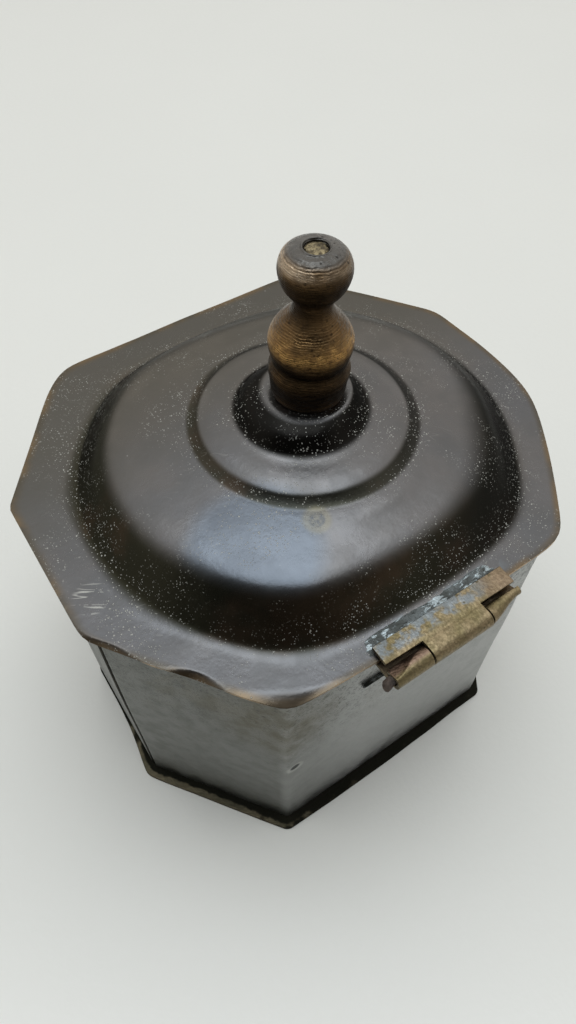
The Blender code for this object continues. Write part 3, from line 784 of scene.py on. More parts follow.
TURNED_BRASS = turned_brass()

# %% The finial's section
# Radius and height above its foot, in millimetres, from the foot's edge up to the recess.
FINIAL_SECTION = [
    (7.9, -0.25), (8.15, 0.8), (8.3, 2.2), (8.5, 4.0), (8.75, 5.4), (8.75, 6.6), (8.35, 7.9),
    (8.0, 8.8), (8.1, 9.6), (8.55, 11.0), (8.85, 12.6), (8.8, 14.2), (8.2, 16.0), (7.1, 17.8),
    (5.7, 19.4), (4.6, 20.8), (4.1, 22.2), (4.1, 23.4), (4.7, 24.6), (5.7, 25.9), (6.6, 27.5),
    (7.1, 29.3), (7.1, 31.0), (6.6, 32.6), (5.7, 33.7), (4.4, 34.4), (3.2, 34.6), (2.85, 34.8),
    (2.6, 34.75), (2.4, 34.3), (2.35, 33.0),
]
FINIAL_BORE = [(2.35, -0.25), (7.9, -0.25)]
FINIAL_TOP = FINIAL_LOW.z + 34.6 * MM
FINIAL_STEPS = 112
RING_PITCH = 0.62
RING_DEPTH = 0.055
LEAN = radians(1.2)
HIGHLIT_SIDE = Vector((0.83, -0.557, 0.0))
LEAN_AXIS = Vector((-0.557, -0.83, 0.0))
FINIAL_MIDDLE = Vector(MIDDLES[0][1:]) * MM


def lathe_rings(radius, height):
    """Grooves of uneven depth. None are cut in the thin neck or inside the recess."""
    depth = RING_DEPTH * (0.6 + 0.7 * noise.noise(Vector((height * 0.5, 3.1, 0.2))))
    depth *= ease(radius, 4.4, 6.5)
    return radius + depth * sin(2 * pi * height / RING_PITCH)


def finial_grime_and_shade(height):
    """Dirt and painted shade: dark at the foot, in the notch, round the neck and under the ball."""
    hollows = (
        (3.4, 4.6, 0.97),
        (9.8, 2.5, 0.97),
        (22.4, 1.8, 0.6),
        (26.0, 2.6, 0.95),
        (28.8, 2.2, 0.85),
    )
    return max(share * hump(height, place, width) for place, width, share in hollows)


def finial_wear_and_highlight(height, side):
    """Fingers polish the bulb's belly, which also gets a painted highlight, and one side of the
    ball's shoulder carries a painted highlight.
    """
    crests = ((14.8, 1.8, 0.95), (32.6, 1.2, 0.3 + 0.7 * ease(side, -1.0, 4.5)))
    return max(share * hump(height, place, width) for place, width, share in crests)


def lean(bm):
    foot = Vector((*FINIAL_MIDDLE, FINIAL_LOW.z))
    turn = Matrix.Rotation(LEAN, 4, LEAN_AXIS)
    about_foot = Matrix.Translation(foot) @ turn @ Matrix.Translation(-foot)
    bmesh.ops.transform(bm, matrix=about_foot, verts=bm.verts)


# %% Turn the finial
def turn_finial():
    drawn = smooth_line(FINIAL_SECTION, 8)
    line = [(lathe_rings(r, h) * MM, FINIAL_LOW.z + h * MM) for r, h in drawn]
    line += [(r * MM, FINIAL_LOW.z + h * MM) for r, h in FINIAL_BORE]
    bm = spun(line, FINIAL_STEPS, (*FINIAL_MIDDLE, 0))
    middle = FINIAL_MIDDLE.to_3d()
    heights = [(vert.co.z - FINIAL_LOW.z) / MM for vert in bm.verts]
    sides = [(vert.co - middle).dot(HIGHLIT_SIDE) / MM for vert in bm.verts]
    for vert in bm.verts:
        out = (vert.co - middle).xy
        worn = 1 + 0.012 * ripple(vert.co, 6 * MM, 4.0)
        vert.co.x = middle.x + out.x * worn
        vert.co.y = middle.y + out.y * worn
    # Dirt and painted shade on the finial.
    mark(bm, "grime_and_shade", [finial_grime_and_shade(h) for h in heights])
    mark(bm, "rubbed_and_highlit", [finial_wear_and_highlight(h, side) for h, side in zip(heights, sides)])
    mark(bm, "cap", [ease(h, 33.2, 34.2) for h in heights])
    bmesh.ops.recalc_face_normals(bm, faces=bm.faces)
    lean(bm)
    return add_piece("finial_knob", bm, LID, TURNED_BRASS, ["finial"], 50)


turn_finial()

# %% [markdown]
# ### The stud's riveted end
# A stud runs up through the knob, and its end was hammered over in the recess. It is a small
# rough disc, so it is spun and then dented with noise. Its button head and its washer are out of
# sight under the lid.

# %% Stud and washer
STUD_METAL = plain_metal("stud_metal", (0.27, 0.22, 0.13), (0.07, 0.055, 0.035), 0.45, 0.0009, 3.0)


def rivet_stud():
    low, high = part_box("finial_stud")
    washer_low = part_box("finial_washer")[0].z
    end = FINIAL_TOP - 0.35 * MM
    head = washer_low - GAP
    line = [
        (0.0, low.z),
        (2.2 * MM, low.z + 0.2 * MM),
        (3.6 * MM, low.z + 0.9 * MM),
        (4.0 * MM, head),
        (2.2 * MM, head),
        (2.2 * MM, end - 0.5 * MM),
        (2.3 * MM, end - 0.3 * MM),
        (2.2 * MM, end),
        (1.7 * MM, end + 0.15 * MM),
        (1.1 * MM, end + 0.1 * MM),
        (0.5 * MM, end + 0.12 * MM),
        (0.0, end + 0.12 * MM),
    ]
    bm = spun(line, 40, (*FINIAL_MIDDLE, 0))
    for vert in bm.verts:
        if vert.co.z > end - 0.1 * MM:
            vert.co.z += 0.16 * MM * ripple(vert.co, 0.9 * MM, 2.0)
    lean(bm)
    return add_piece("stud", bm, LID, STUD_METAL, ["finial_stud"])


rivet_stud()


def cut_washer():
    low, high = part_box("finial_washer")
    inner, outer, chamfer = 2.6 * MM, high.x - CENTRE.x, 0.15 * MM
    line = [
        (inner, low.z),
        (outer - chamfer, low.z),
        (outer, low.z + chamfer),
        (outer, high.z - chamfer),
        (outer - chamfer, high.z),
        (inner, high.z),
        (inner, low.z),
    ]
    bm = spun(line, 64, (*FINIAL_MIDDLE, 0))
    return add_piece("washer", bm, LID, UNDERSIDE, ["finial_washer"], 30)


cut_washer()

# %% [markdown]
# ## The body
# The body is one long strip of sheet, folded at seven corners and soldered where its ends meet.
# So the strip starts here as a flat grid, and each point is walked along the folded outline by
# its distance from the strip's end. The faces aren't quite flat, and the seam gapes a little at
# the top.

# %% Wall metal
# A puncture pushed in from outside, low on the hinge side, its hole painted black as shade, and a
# brown patch by the corner.
PUNCTURE = Vector((32.8, 53.0, 43.0)) * MM
BROWN_PATCH = Vector((38.0, 53.0, 70.0)) * MM


def wall_metal():
    material, tree, shader = metal_base("grey_wall", roughness=0.4)
    here = node(tree, "TexCoord").outputs["Object"]
    place = node(tree, "SeparateXYZ", Vector=here)
    drift = use(tree, CLOUDS, Size=0.030, Low=0.3, High=0.7, Seed=12.0)
    mottle = use(tree, CLOUDS, Size=0.005, Low=0.3, High=0.75, Seed=13.0)
    colour = blend_colour(tree, drift, (0.122, 0.125, 0.113), (0.150, 0.153, 0.141))
    colour = tint(tree, colour, mottle, 0.12, (0.11, 0.113, 0.103))
    # The hinge side is coloured lighter, most towards the middle of that side.
    hinge_side_lighter = step_between(tree, place.outputs["Y"], 0.0505, 0.0525)
    sideways = step_between(tree, place.outputs["X"], 36 * MM, 8 * MM, 0.3, 1.0)
    hinge_side_lighter = maths(tree, "MULTIPLY", hinge_side_lighter, sideways)
    colour = tint(tree, colour, hinge_side_lighter, 0.7, (0.50, 0.505, 0.50))
    upper = step_between(tree, place.outputs["Z"], 0.035, 0.085)
    speckle = node(tree, "TexNoise", Vector=here, Scale=1500.0, Detail=3.0, Roughness=0.7)
    speckle = step_between(tree, speckle.outputs["Fac"], 0.5, 0.66)
    more_above = maths(tree, "ADD", maths(tree, "MULTIPLY", upper, 0.75), 0.12)
    speckle = maths(tree, "MULTIPLY", speckle, more_above)
    colour = blend_colour(tree, speckle, colour, (0.05, 0.053, 0.047))
    stain = use(tree, CLOUDS, Size=0.012, Low=0.48, High=0.62, Seed=14.0)
    stain = maths(tree, "MULTIPLY", stain, upper)
    colour = tint(tree, colour, stain, 0.35, (0.12, 0.105, 0.065))
    away = measure(tree, "DISTANCE", here, BROWN_PATCH)
    uneven = step_between(tree, mottle, 0.0, 1.0, 0.4, 1.0)
    patch = maths(tree, "MULTIPLY", step_between(tree, away, 24 * MM, 6 * MM), uneven)
    colour = tint(tree, colour, patch, 0.7, (0.095, 0.082, 0.045))
    pits = use(tree, SPECKS, Size=0.0011, Amount=0.7, Radius=0.45, Seed=5.0)
    pitted = step_between(tree, mottle, 0.0, 1.0, 0.45, 1.0)
    pits = maths(tree, "MULTIPLY", pits, maths(tree, "MULTIPLY", upper, pitted))
    colour = tint(tree, colour, pits, 0.7, (0.04, 0.043, 0.04))
    away = measure(tree, "DISTANCE", here, PUNCTURE)
    within = step_between(tree, away, 2.8 * MM, 1.9 * MM)
    beyond = step_between(tree, away, 1.3 * MM, 1.6 * MM)
    burr = maths(tree, "MULTIPLY", within, beyond)
    colour = tint(tree, colour, burr, 0.4, (0.55, 0.55, 0.52))
    # Painted shade: the puncture's middle is coloured near black, the dark inside a hole.
    hole = step_between(tree, away, 1.5 * MM, 1.1 * MM)
    colour = blend_colour(tree, hole, colour, (0.01, 0.01, 0.01))
    fine = use(tree, CLOUDS, Size=0.0007, Low=0.3, High=0.7, Seed=15.0)
    rough = step_between(tree, mottle, 0.0, 1.0, 0.36, 0.5)
    connect(tree, shader, Base_Color=colour, Roughness=rough)
    add_bumps(tree, shader, (mottle, 0.015 * MM), (fine, 0.012 * MM), (speckle, 0.03 * MM))
    return material


GREY_WALL = wall_metal()
INSIDE_WALL = plain_metal("inside_wall", (0.3, 0.29, 0.26), (0.16, 0.145, 0.12), 0.5, 0.012, 16.0)
# Painted shade: the sheet's cut edges are near black, as the dark in the seam's gap and under the
# flange.
SHADED_WALL_EDGE = plain_metal("shaded_wall_edge", (0.06, 0.054, 0.042), (0.025, 0.022, 0.018), 0.5, 0.006, 17.0)

# %% The folded outline, walked by distance
FOLD_RADIUS = 1.3 * MM
SEAM_TOP_GAP = 1.3 * MM
SEAM_LOW_GAP = 0.15 * MM
ARC_STEPS = 8
# How far the strip's two ends stay from the corner where they meet, in millimetres.
STRIP_START, STRIP_END = 0.55, 0.9


def rounded_outline(points, radius, closed=True):
    """The outline with an arc at each corner. An open outline keeps its two ends."""
    outline = []
    for i, corner in enumerate(points):
        if not closed and i in (0, len(points) - 1):
            outline.append(corner)
            continue
        back = (points[i - 1] - corner).normalized()
        on = (points[(i + 1) % len(points)] - corner).normalized()
        half = back.angle(on) / 2
        centre = corner + (back + on).normalized() * radius / sin(half)
        start = corner + back * radius * cos(half) / sin(half) - centre
        end = corner + on * radius * cos(half) / sin(half) - centre
        for step in range(ARC_STEPS + 1):
            outline.append(centre + start.lerp(end, step / ARC_STEPS).normalized() * radius)
    return outline


class Walk:
    """A line in plan that gives the place and the outward direction at a distance along it."""

    def __init__(self, points):
        self.points = points
        self.reached = [0.0]
        for a, b in zip(points, points[1:]):
            self.reached.append(self.reached[-1] + (b - a).length)
        self.length = self.reached[-1]

    def at(self, distance):
        k = 0
        while k < len(self.reached) - 2 and self.reached[k + 1] < distance:
            k += 1
        a, b = self.points[k], self.points[k + 1]
        share = (distance - self.reached[k]) / (self.reached[k + 1] - self.reached[k])
        along = (b - a).normalized()
        return a.lerp(b, share), Vector((along.y, -along.x))


# %% Fold the wall
def face_bow(place, height):
    """How far a face stands in or out: a slow wave, and none at the top and bottom edges."""
    level = (height - WALL_BOTTOM) / (WALL_TOP - WALL_BOTTOM)
    free = sin(pi * min(1.0, max(0.0, level)))
    return (0.5 * ripple((place.x, place.y, height), 32 * MM, 3.0) * free) * MM


def dent(place, height):
    """The hollow that the puncture left round itself."""
    away = (Vector((place.x, place.y, height)) - PUNCTURE).length / MM
    return -0.5 * exp(-((away / 3.5) ** 2)) * MM


def fold_wall():
    points = corners(WALL_INSET)
    seam = points[0]
    start = seam + (points[1] - seam).normalized() * STRIP_START * MM
    end = seam + (points[-1] - seam).normalized() * STRIP_END * MM
    walk = Walk(rounded_outline([start, *points[1:], end], FOLD_RADIUS, closed=False))
    bm = bmesh.new()
    bmesh.ops.create_grid(bm, x_segments=520, y_segments=44, size=0.5)
    for vert in bm.verts:
        distance = (vert.co.x + 0.5) * walk.length
        height = WALL_BOTTOM + (vert.co.y + 0.5) * (WALL_TOP - WALL_BOTTOM)
        level = vert.co.y + 0.5
        gape = (SEAM_LOW_GAP + (SEAM_TOP_GAP - SEAM_LOW_GAP) * ease(level, 0.45, 0.95)) * ease(
            distance / walk.length, 0.955, 1.0
        )
        place, out = walk.at(distance)
        place = place + out * (face_bow(place, height) + dent(place, height))
        along = Vector((-out.y, out.x))
        place = place - along * gape
        vert.co = (place.x, place.y, height)
    for face in bm.faces:
        face.normal_update()
    if sum(f.normal.xy.dot(f.calc_center_median().xy) for f in bm.faces) < 0:
        bmesh.ops.reverse_faces(bm, faces=bm.faces)
    metals = [GREY_WALL, INSIDE_WALL, SHADED_WALL_EDGE]
    piece = add_piece("wall_strip", bm, BODY, metals, ["body_wall"])
    add_thickness(piece, SHEET, rim=2, inner=1)
    add_soft_edges(piece, 0.15 * MM)
    return piece


fold_wall()

# %% [markdown]
# ## The base plate
# The plate is cut a little larger than the walls, so it shows all round as a lip: brownish on
# one side, and darkened elsewhere and under the box with grime and painted shade. A circle of
# eight points is moved onto the corners, its corners are bevelled round and the outline is cut
# finer, so that the snips' wobble can be put in before it is extruded.

# %% Base plate
def plate_metal():
    material, tree, shader = metal_base("plate_metal", roughness=0.42)
    grime_and_shade = attribute(tree, "grime_and_shade")
    drift = use(tree, CLOUDS, Size=0.008, Low=0.35, High=0.65, Seed=20.0)
    grain = use(tree, CLOUDS, Size=0.0008, Low=0.3, High=0.7, Seed=19.0)
    edge = use(tree, CLOUDS, Size=0.003, Low=0.35, High=0.65, Seed=18.0)
    colour = blend_colour(tree, drift, (0.055, 0.050, 0.032), (0.10, 0.082, 0.052))
    colour = tint(tree, colour, grain, 0.3, (0.07, 0.062, 0.045))
    frayed = maths(tree, "MULTIPLY", maths(tree, "SUBTRACT", edge, 0.5), 0.35)
    # Grime and painted shade: the lip at the wall's foot and the part under the box go near black,
    # except on one side.
    black = maths(tree, "ADD", grime_and_shade, frayed)
    black = step_between(tree, black, 0.3, 0.7)
    colour = tint(tree, colour, black, 0.95, (0.012, 0.012, 0.009))
    rough = step_between(tree, black, 0.0, 1.0, 0.42, 0.7)
    connect(tree, shader, Base_Color=colour, Roughness=rough)
    add_bumps(tree, shader, (drift, 0.1 * MM), (grain, 0.03 * MM))
    return material


PLATE_METAL = plate_metal()
PLATE_CORNER = 1.3 * MM
GRIME_AND_SHADE_WIDTH = 2.4 * MM
CLEAN_AND_LIT_AT = radians(30)


def cut_base_plate():
    low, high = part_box("base_plate")
    bm = bmesh.new()
    bmesh.ops.create_circle(bm, cap_ends=True, radius=1.0, segments=8)
    ring = sorted(bm.verts, key=lambda v: atan2(v.co.y, v.co.x) % (2 * pi))
    for vert, corner in zip(ring, sorted(corners(), key=lambda c: atan2(c.y, c.x) % (2 * pi))):
        vert.co = (corner.x, corner.y, low.z)
    bmesh.ops.bevel(
        bm,
        geom=list(bm.verts),
        offset=PLATE_CORNER,
        segments=6,
        profile=0.5,
        affect="VERTICES",
        material=-1,
    )
    long_edges = [e for e in bm.edges if e.calc_length() > 5 * MM]
    bmesh.ops.subdivide_edges(bm, edges=long_edges, cuts=28)
    for vert in bm.verts:
        out = vert.co.xy.normalized()
        wobble = 0.25 * MM * ripple(vert.co, 14 * MM, 6.0) + 0.2 * MM
        wobble += 1.1 * MM * ease(out.dot(NEAR_SIDE), 0.3, 0.9)
        wobble -= 1.9 * MM * ease(vert.co.x, 50 * MM, 61 * MM) * ease(vert.co.y, 24 * MM, 2 * MM)
        vert.co.x += out.x * wobble
        vert.co.y += out.y * wobble
    made = bmesh.ops.extrude_face_region(bm, geom=list(bm.faces))["geom"]
    lifted = [v for v in made if isinstance(v, bmesh.types.BMVert)]
    bmesh.ops.translate(bm, verts=lifted, vec=(0, 0, high.z - low.z))
    bmesh.ops.recalc_face_normals(bm, faces=bm.faces)
    top = max(bm.faces, key=lambda f: f.normal.z * f.calc_area())
    bmesh.ops.inset_region(bm, faces=[top], thickness=GRIME_AND_SHADE_WIDTH * 0.4)
    bmesh.ops.inset_region(bm, faces=[top], thickness=GRIME_AND_SHADE_WIDTH * 0.6)
    inner = set(top.verts)
    angles = [atan2(v.co.y, v.co.x) for v in bm.verts]
    # The lip stays lighter on one side; elsewhere it takes grime and painted shade.
    clean_and_lit = [hump(turn_between(angle, CLEAN_AND_LIT_AT), 0, 0.42) for angle in angles]
    mark(bm, "grime_and_shade", [1.0 if v in inner else 0.75 - 0.75 * c for v, c in zip(bm.verts, clean_and_lit)])
    piece = add_piece("plate", bm, BODY, PLATE_METAL, ["base_plate"], 40)
    add_soft_edges(piece, 0.28 * MM, 3)
    return piece


cut_base_plate()

# %% [markdown]
# ## The hinge
# Each leaf is one strip of sheet that is flat on its own side and rolled round the pin. It is
# made here the same way: a flat grid is wrapped along its section, so the curl and the flat stay
# one sheet, and the part of the curl that belongs to the other leaf is cut out. The rolled ends
# were never perfect: one has a flat back, and the other is pinched to a point.

# %% Hinge metal and its wire
def hinge_metal():
    material, tree, shader = metal_base("pale_brass", roughness=0.36)
    smear, inner = attribute(tree, "smear"), attribute(tree, "inner")
    drift = use(tree, CLOUDS, Size=0.005, Low=0.35, High=0.65, Seed=21.0)
    grain = use(tree, CLOUDS, Size=0.0006, Low=0.3, High=0.7, Seed=22.0)
    colour = blend_colour(tree, drift, (0.175, 0.140, 0.072), (0.255, 0.195, 0.115))
    colour = tint(tree, colour, grain, 0.6, (0.085, 0.068, 0.036))
    colour = tint(tree, colour, inner, 0.85, (0.19, 0.125, 0.095))
    broken = use(tree, CLOUDS, Size=0.003, Low=0.4, High=0.55, Seed=23.0)
    wiped = maths(tree, "MULTIPLY", smear, broken)
    colour = tint(tree, colour, wiped, 0.75, (0.16, 0.185, 0.205))
    pits = use(tree, SPECKS, Size=0.0011, Amount=0.35, Radius=0.4, Seed=2.5)
    colour = tint(tree, colour, pits, 0.75, (0.08, 0.065, 0.035))
    rough = step_between(tree, grain, 0.0, 1.0, 0.34, 0.46)
    connect(tree, shader, Base_Color=colour, Roughness=rough)
    add_bumps(tree, shader, (drift, 0.1 * MM), (grain, 0.04 * MM), (wiped, 0.04 * MM))
    return material


def rust():
    material, tree, shader = metal_base("rusty_wire", metallic=0.4, roughness=0.75)
    lumps = use(tree, CLOUDS, Size=0.0012, Low=0.3, High=0.7, Seed=31.0)
    drift = use(tree, CLOUDS, Size=0.004, Low=0.4, High=0.6, Seed=32.0)
    colour = blend_colour(tree, drift, (0.035, 0.026, 0.022), (0.09, 0.06, 0.045))
    colour = tint(tree, colour, lumps, 0.5, (0.12, 0.1, 0.085))
    rough = step_between(tree, lumps, 0.0, 1.0, 0.6, 0.85)
    connect(tree, shader, Base_Color=colour, Roughness=rough)
    add_bumps(tree, shader, (lumps, 0.25 * MM))
    return material


PALE_BRASS = hinge_metal()
RUSTY_WIRE = rust()
LEAF_EDGE = plain_metal("leaf_edge", (0.20, 0.16, 0.09), (0.09, 0.07, 0.04), 0.36, 0.002, 24.0)

# %% Sizes of the hinge
KNUCKLE = FLANGE_TOP + GAP + SHEET - HINGE.z
LEAF_TOP = HINGE.z + KNUCKLE
HINGE_LOW, HINGE_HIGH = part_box("lid_hinge_leaf")[0].x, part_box("lid_hinge_leaf")[1].x
SIDE_KNUCKLE = 9.4 * MM
MIDDLE_LOW, MIDDLE_HIGH = HINGE_LOW + SIDE_KNUCKLE, HINGE_HIGH - SIDE_KNUCKLE
END_GAP = 0.25 * MM
LEAF_INNER = 53.5 * MM
LEAF_OUTER = HINGE.y - 2.35 * MM
GRID_PITCH = 0.2 * MM
# Two places closer than this count as one.
HAIR = 0.01 * MM
print("hinge from", round(HINGE_LOW / MM, 1), "to", round(HINGE_HIGH / MM, 1), "mm")


def arc(start, sweep, radius=KNUCKLE, centre=None, steps=24):
    """Points of a curl about the pin in the YZ plane, as (y, z)."""
    middle = centre or HINGE.yz
    turns = [start + sweep * k / steps for k in range(steps + 1)]
    return [middle + Vector((cos(t), sin(t))) * radius for t in turns]


def wrapped_sheet(low, high, section_at, length):
    """A flat grid whose rows follow a section that may change along the hinge."""
    bm = bmesh.new()
    columns, rows = round((high - low) / GRID_PITCH), round(length / GRID_PITCH)
    bmesh.ops.create_grid(bm, x_segments=columns, y_segments=rows, size=0.5)
    walks = {}
    for vert in bm.verts:
        x = low + (vert.co.x + 0.5) * (high - low)
        key = round(x / GRID_PITCH * 4)
        if key not in walks:
            walks[key] = Walk(section_at(x))
        walk = walks[key]
        place, out = walk.at((vert.co.y + 0.5) * walk.length)
        vert.co = (x, place.x, place.y)
    return bm


def point_faces(bm, direction):
    """Turns the sheet over if its first faces don't point along the direction."""
    bm.normal_update()
    if sum(face.normal.dot(Vector(direction)) for face in bm.faces) < 0:
        bmesh.ops.reverse_faces(bm, faces=bm.faces)


# %% The lid's leaf
def lid_leaf_section(x):
    """Flat on the flange, then up and over the pin."""
    flat = [Vector((LEAF_INNER, LEAF_TOP)), Vector((LEAF_OUTER, LEAF_TOP))]
    return flat + arc(pi / 2, -3 * pi / 2)


def leaf_smear(place):
    """Solder wiped along the inner part of the leaf, as far as its plain end."""
    across = ease(place.y, LEAF_OUTER - 0.6 * MM, LEAF_OUTER - 1.9 * MM)
    return across * ease(place.x, -15 * MM, -8 * MM) * ease(place.z, HINGE.z, LEAF_TOP)


def roll_lid_leaf():
    bm = wrapped_sheet(HINGE_LOW, HINGE_HIGH, lid_leaf_section, 17.2 * MM)
    extra = [
        v
        for v in bm.verts
        if (v.co.y > LEAF_OUTER + HAIR or v.co.z < LEAF_TOP - HAIR)
        and not MIDDLE_LOW - HAIR < v.co.x < MIDDLE_HIGH + HAIR
    ]
    bmesh.ops.delete(bm, geom=extra, context="VERTS")
    point_faces(bm, (0, 0.3, 1))
    for vert in bm.verts:
        on_flat = ease(vert.co.y, HINGE.y, LEAF_OUTER - 1 * MM)
        wave = 0.12 * ripple(vert.co, 7 * MM, 2.0) + 0.04 * ripple(vert.co, 2 * MM, 8.0)
        lift = 0.35 * ease(vert.co.x, HINGE_HIGH - 5 * MM, HINGE_HIGH) * on_flat
        groove = -0.10 * exp(-(((vert.co.y - LEAF_OUTER) / (0.5 * MM)) ** 2))
        if vert.co.z > HINGE.z:
            vert.co.z += (wave + lift + groove) * MM
    places = [v.co.copy() for v in bm.verts]
    mark(bm, "smear", [leaf_smear(p) for p in places])
    plain_end = [ease(p.x, -9 * MM, -13 * MM) for p in places]
    inner = [0.5 * e * ease(p.y, HINGE.y, LEAF_OUTER) for e, p in zip(plain_end, places)]
    mark(bm, "inner", inner)
    metals = [PALE_BRASS, PALE_BRASS, LEAF_EDGE]
    piece = add_piece("lid_leaf", bm, LID, metals, ["lid_hinge_leaf"])
    add_thickness(piece, SHEET, rim=2, inner=1)
    add_soft_edges(piece, 0.1 * MM)
    return piece


roll_lid_leaf()

# %% The body's leaf
WALL_FACE = HALF_WIDTH - WALL_INSET + GAP + SHEET
WEB = HINGE.z - KNUCKLE
LEAF_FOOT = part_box("body_hinge_leaf")[0].z
STRAP_END = 5.0 * MM


def body_leaf_section(x):
    """Up the wall, out under the flange, and round the pin from below."""
    bend = 1.2 * MM
    foot = [Vector((WALL_FACE, LEAF_FOOT))]
    turn = [
        Vector((WALL_FACE + bend * (1 - cos(t)), WEB - bend * (1 - sin(t))))
        for t in (0, pi / 6, pi / 3, pi / 2)
    ]
    if x > (MIDDLE_LOW + MIDDLE_HIGH) / 2:
        opened = ease(x, MIDDLE_HIGH, HINGE_HIGH)
        sweep = radians(235 - 85 * opened)
        curl = arc(-pi / 2, sweep)
        back = Vector((LEAF_OUTER + 0.35 * MM, HINGE.z + 0.6 * MM))
        return foot + turn + curl + [curl[-1].lerp(back, 0.5), back]
    pinched = ease(x, MIDDLE_LOW + 0.5 * MM, HINGE_LOW + 0.5 * MM)
    radius = KNUCKLE * (0.93 - 0.47 * pinched)
    centre = HINGE.yz + Vector((-1.0, 0.75)) * MM * pinched
    return foot + turn + arc(-pi / 2, radians(265 - 60 * pinched), radius, centre)


def curl_back(place):
    """1 on the back of a curl, where nothing has rubbed it."""
    if place.x < MIDDLE_HIGH:
        return 0.0
    upper = ease(place.z, HINGE.z, HINGE.z + 1 * MM)
    return upper * ease(place.y, HINGE.y + 0.8 * MM, HINGE.y - 0.3 * MM)


def roll_body_leaf():
    bm = wrapped_sheet(HINGE_LOW, HINGE_HIGH, body_leaf_section, 30 * MM)
    web_end = HINGE.y - KNUCKLE - 0.15 * MM
    slot_low, slot_high = MIDDLE_LOW - END_GAP + HAIR, MIDDLE_HIGH + END_GAP - HAIR
    extra = [
        v
        for v in bm.verts
        if (v.co.y > web_end and slot_low < v.co.x < slot_high)
        or (v.co.x > STRAP_END and v.co.z < WEB - 3 * MM)
    ]
    bmesh.ops.delete(bm, geom=extra, context="VERTS")
    bm.normal_update()
    lowest = [f for f in bm.faces if f.calc_center_median().z < LEAF_FOOT + 3 * MM]
    if sum(f.normal.y for f in lowest) < 0:
        bmesh.ops.reverse_faces(bm, faces=bm.faces)
    for vert in bm.verts:
        if vert.co.y > web_end:
            vert.co += Vector((0, 0.06, 0.06)) * MM * ripple(vert.co, 4 * MM, 3.0)
    mark(bm, "smear", [0.5 * ease(v.co.z, LEAF_FOOT + 3 * MM, LEAF_FOOT) for v in bm.verts])
    mark(bm, "inner", [curl_back(v.co) for v in bm.verts])
    metals = [PALE_BRASS, UNDERSIDE, LEAF_EDGE]
    piece = add_piece("body_leaf", bm, BODY, metals, ["body_hinge_leaf"])
    add_thickness(piece, SHEET * 0.9, rim=2, inner=1)
    add_soft_edges(piece, 0.1 * MM)
    return piece


roll_body_leaf()

# %% [markdown]
# ### The wire
# The pin is iron wire, rusted rough. It is spun about the hinge's axis, its end is bent down a
# little where it was cut, and noise gives it the crust of rust.

# %% Hinge wire
def cut_wire():
    low, high = HINGE_LOW + 6 * MM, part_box("hinge_pin")[1].x
    radius = 1.0 * MM
    bm = bmesh.new()
    stations = [low + (high - 0.4 * MM - low) * k / 60 for k in range(61)]
    line = [(low, 0.0), *((x, radius) for x in stations), (high, 0.6 * radius), (high, 0.0)]
    verts = [bm.verts.new((x, HINGE.y, HINGE.z + r)) for x, r in line]
    edges = [bm.edges.new(pair) for pair in zip(verts, verts[1:])]
    axis = Vector((1, 0, 0))
    bmesh.ops.spin(
        bm, geom=verts + edges, cent=HINGE, axis=axis, angle=2 * pi, steps=28, use_merge=True
    )
    bmesh.ops.remove_doubles(bm, verts=bm.verts, dist=1e-6)
    for vert in bm.verts:
        beyond = ease(vert.co.x, HINGE_HIGH - 0.4 * MM, high)
        away = (vert.co - Vector((vert.co.x, HINGE.y, HINGE.z))).normalized()
        vert.co += away * (0.08 + 0.35 * beyond) * MM * ripple(vert.co, 1.1 * MM, 4.0)
        vert.co += Vector((0, 0.25, -0.9)) * beyond * MM
    bmesh.ops.recalc_face_normals(bm, faces=bm.faces)
    return add_piece("wire", bm, BODY, RUSTY_WIRE, ["hinge_pin"])


cut_wire()

# %% [markdown]
# ### Solder
# Soft solder was wiped along the leaf's inner edge. It stands up a little in broken ridges, so a
# grid is laid over the flange, follows the flange's own waves, and is raised by noise where the
# iron left metal. Where the height falls below the flange the grid simply sinks into it. The
# solder inside the box keeps the frame's plain fillets, with this metal on them, except the seam's
# fillet, which is made near black as painted shade in the seam's gap.

# %% Solder metal
def solder_metal():
    material, tree, shader = metal_base("soft_solder", roughness=0.42)
    here = node(tree, "TexCoord").outputs["Object"]
    stretched = node(tree, "Mapping", Vector=here)
    stretched.inputs["Scale"].default_value = (0.4, 1.0, 1.0)
    drawn_out = stretched.outputs[0]
    flecks = node(tree, "TexNoise", Vector=drawn_out, Scale=900.0, Detail=4.0, Roughness=0.65)
    fleck = step_between(tree, flecks.outputs["Fac"], 0.5, 0.6)
    drift = use(tree, CLOUDS, Size=0.004, Low=0.4, High=0.6, Seed=41.0)
    colour = blend_colour(tree, drift, (0.055, 0.058, 0.054), (0.095, 0.102, 0.10))
    colour = blend_colour(tree, fleck, colour, (0.25, 0.28, 0.285))
    rough = step_between(tree, fleck, 0.0, 1.0, 0.5, 0.34)
    connect(tree, shader, Base_Color=colour, Roughness=rough)
    add_bumps(tree, shader, (drift, 0.15 * MM), (fleck, 0.06 * MM))
    return material


SOFT_SOLDER = solder_metal()
# Painted shade: the seam's solder is near black, as the dark inside the seam's gap.
SEAM_SHADE = plain_metal(
    "seam_shade", (0.035, 0.033, 0.028), (0.012, 0.012, 0.010), 0.6, 0.004, 42.0
)
for name in ("base_solder", "body_leaf_solder"):
    bpy.data.objects[name].material_slots[0].material = SOFT_SOLDER
bpy.data.objects["wall_seam_solder"].material_slots[0].material = SEAM_SHADE

# %% Wiped solder on the flange
SOLDER_ENDS = (-19.5 * MM, 19.0 * MM)
SOLDER_INNER = 49.8 * MM


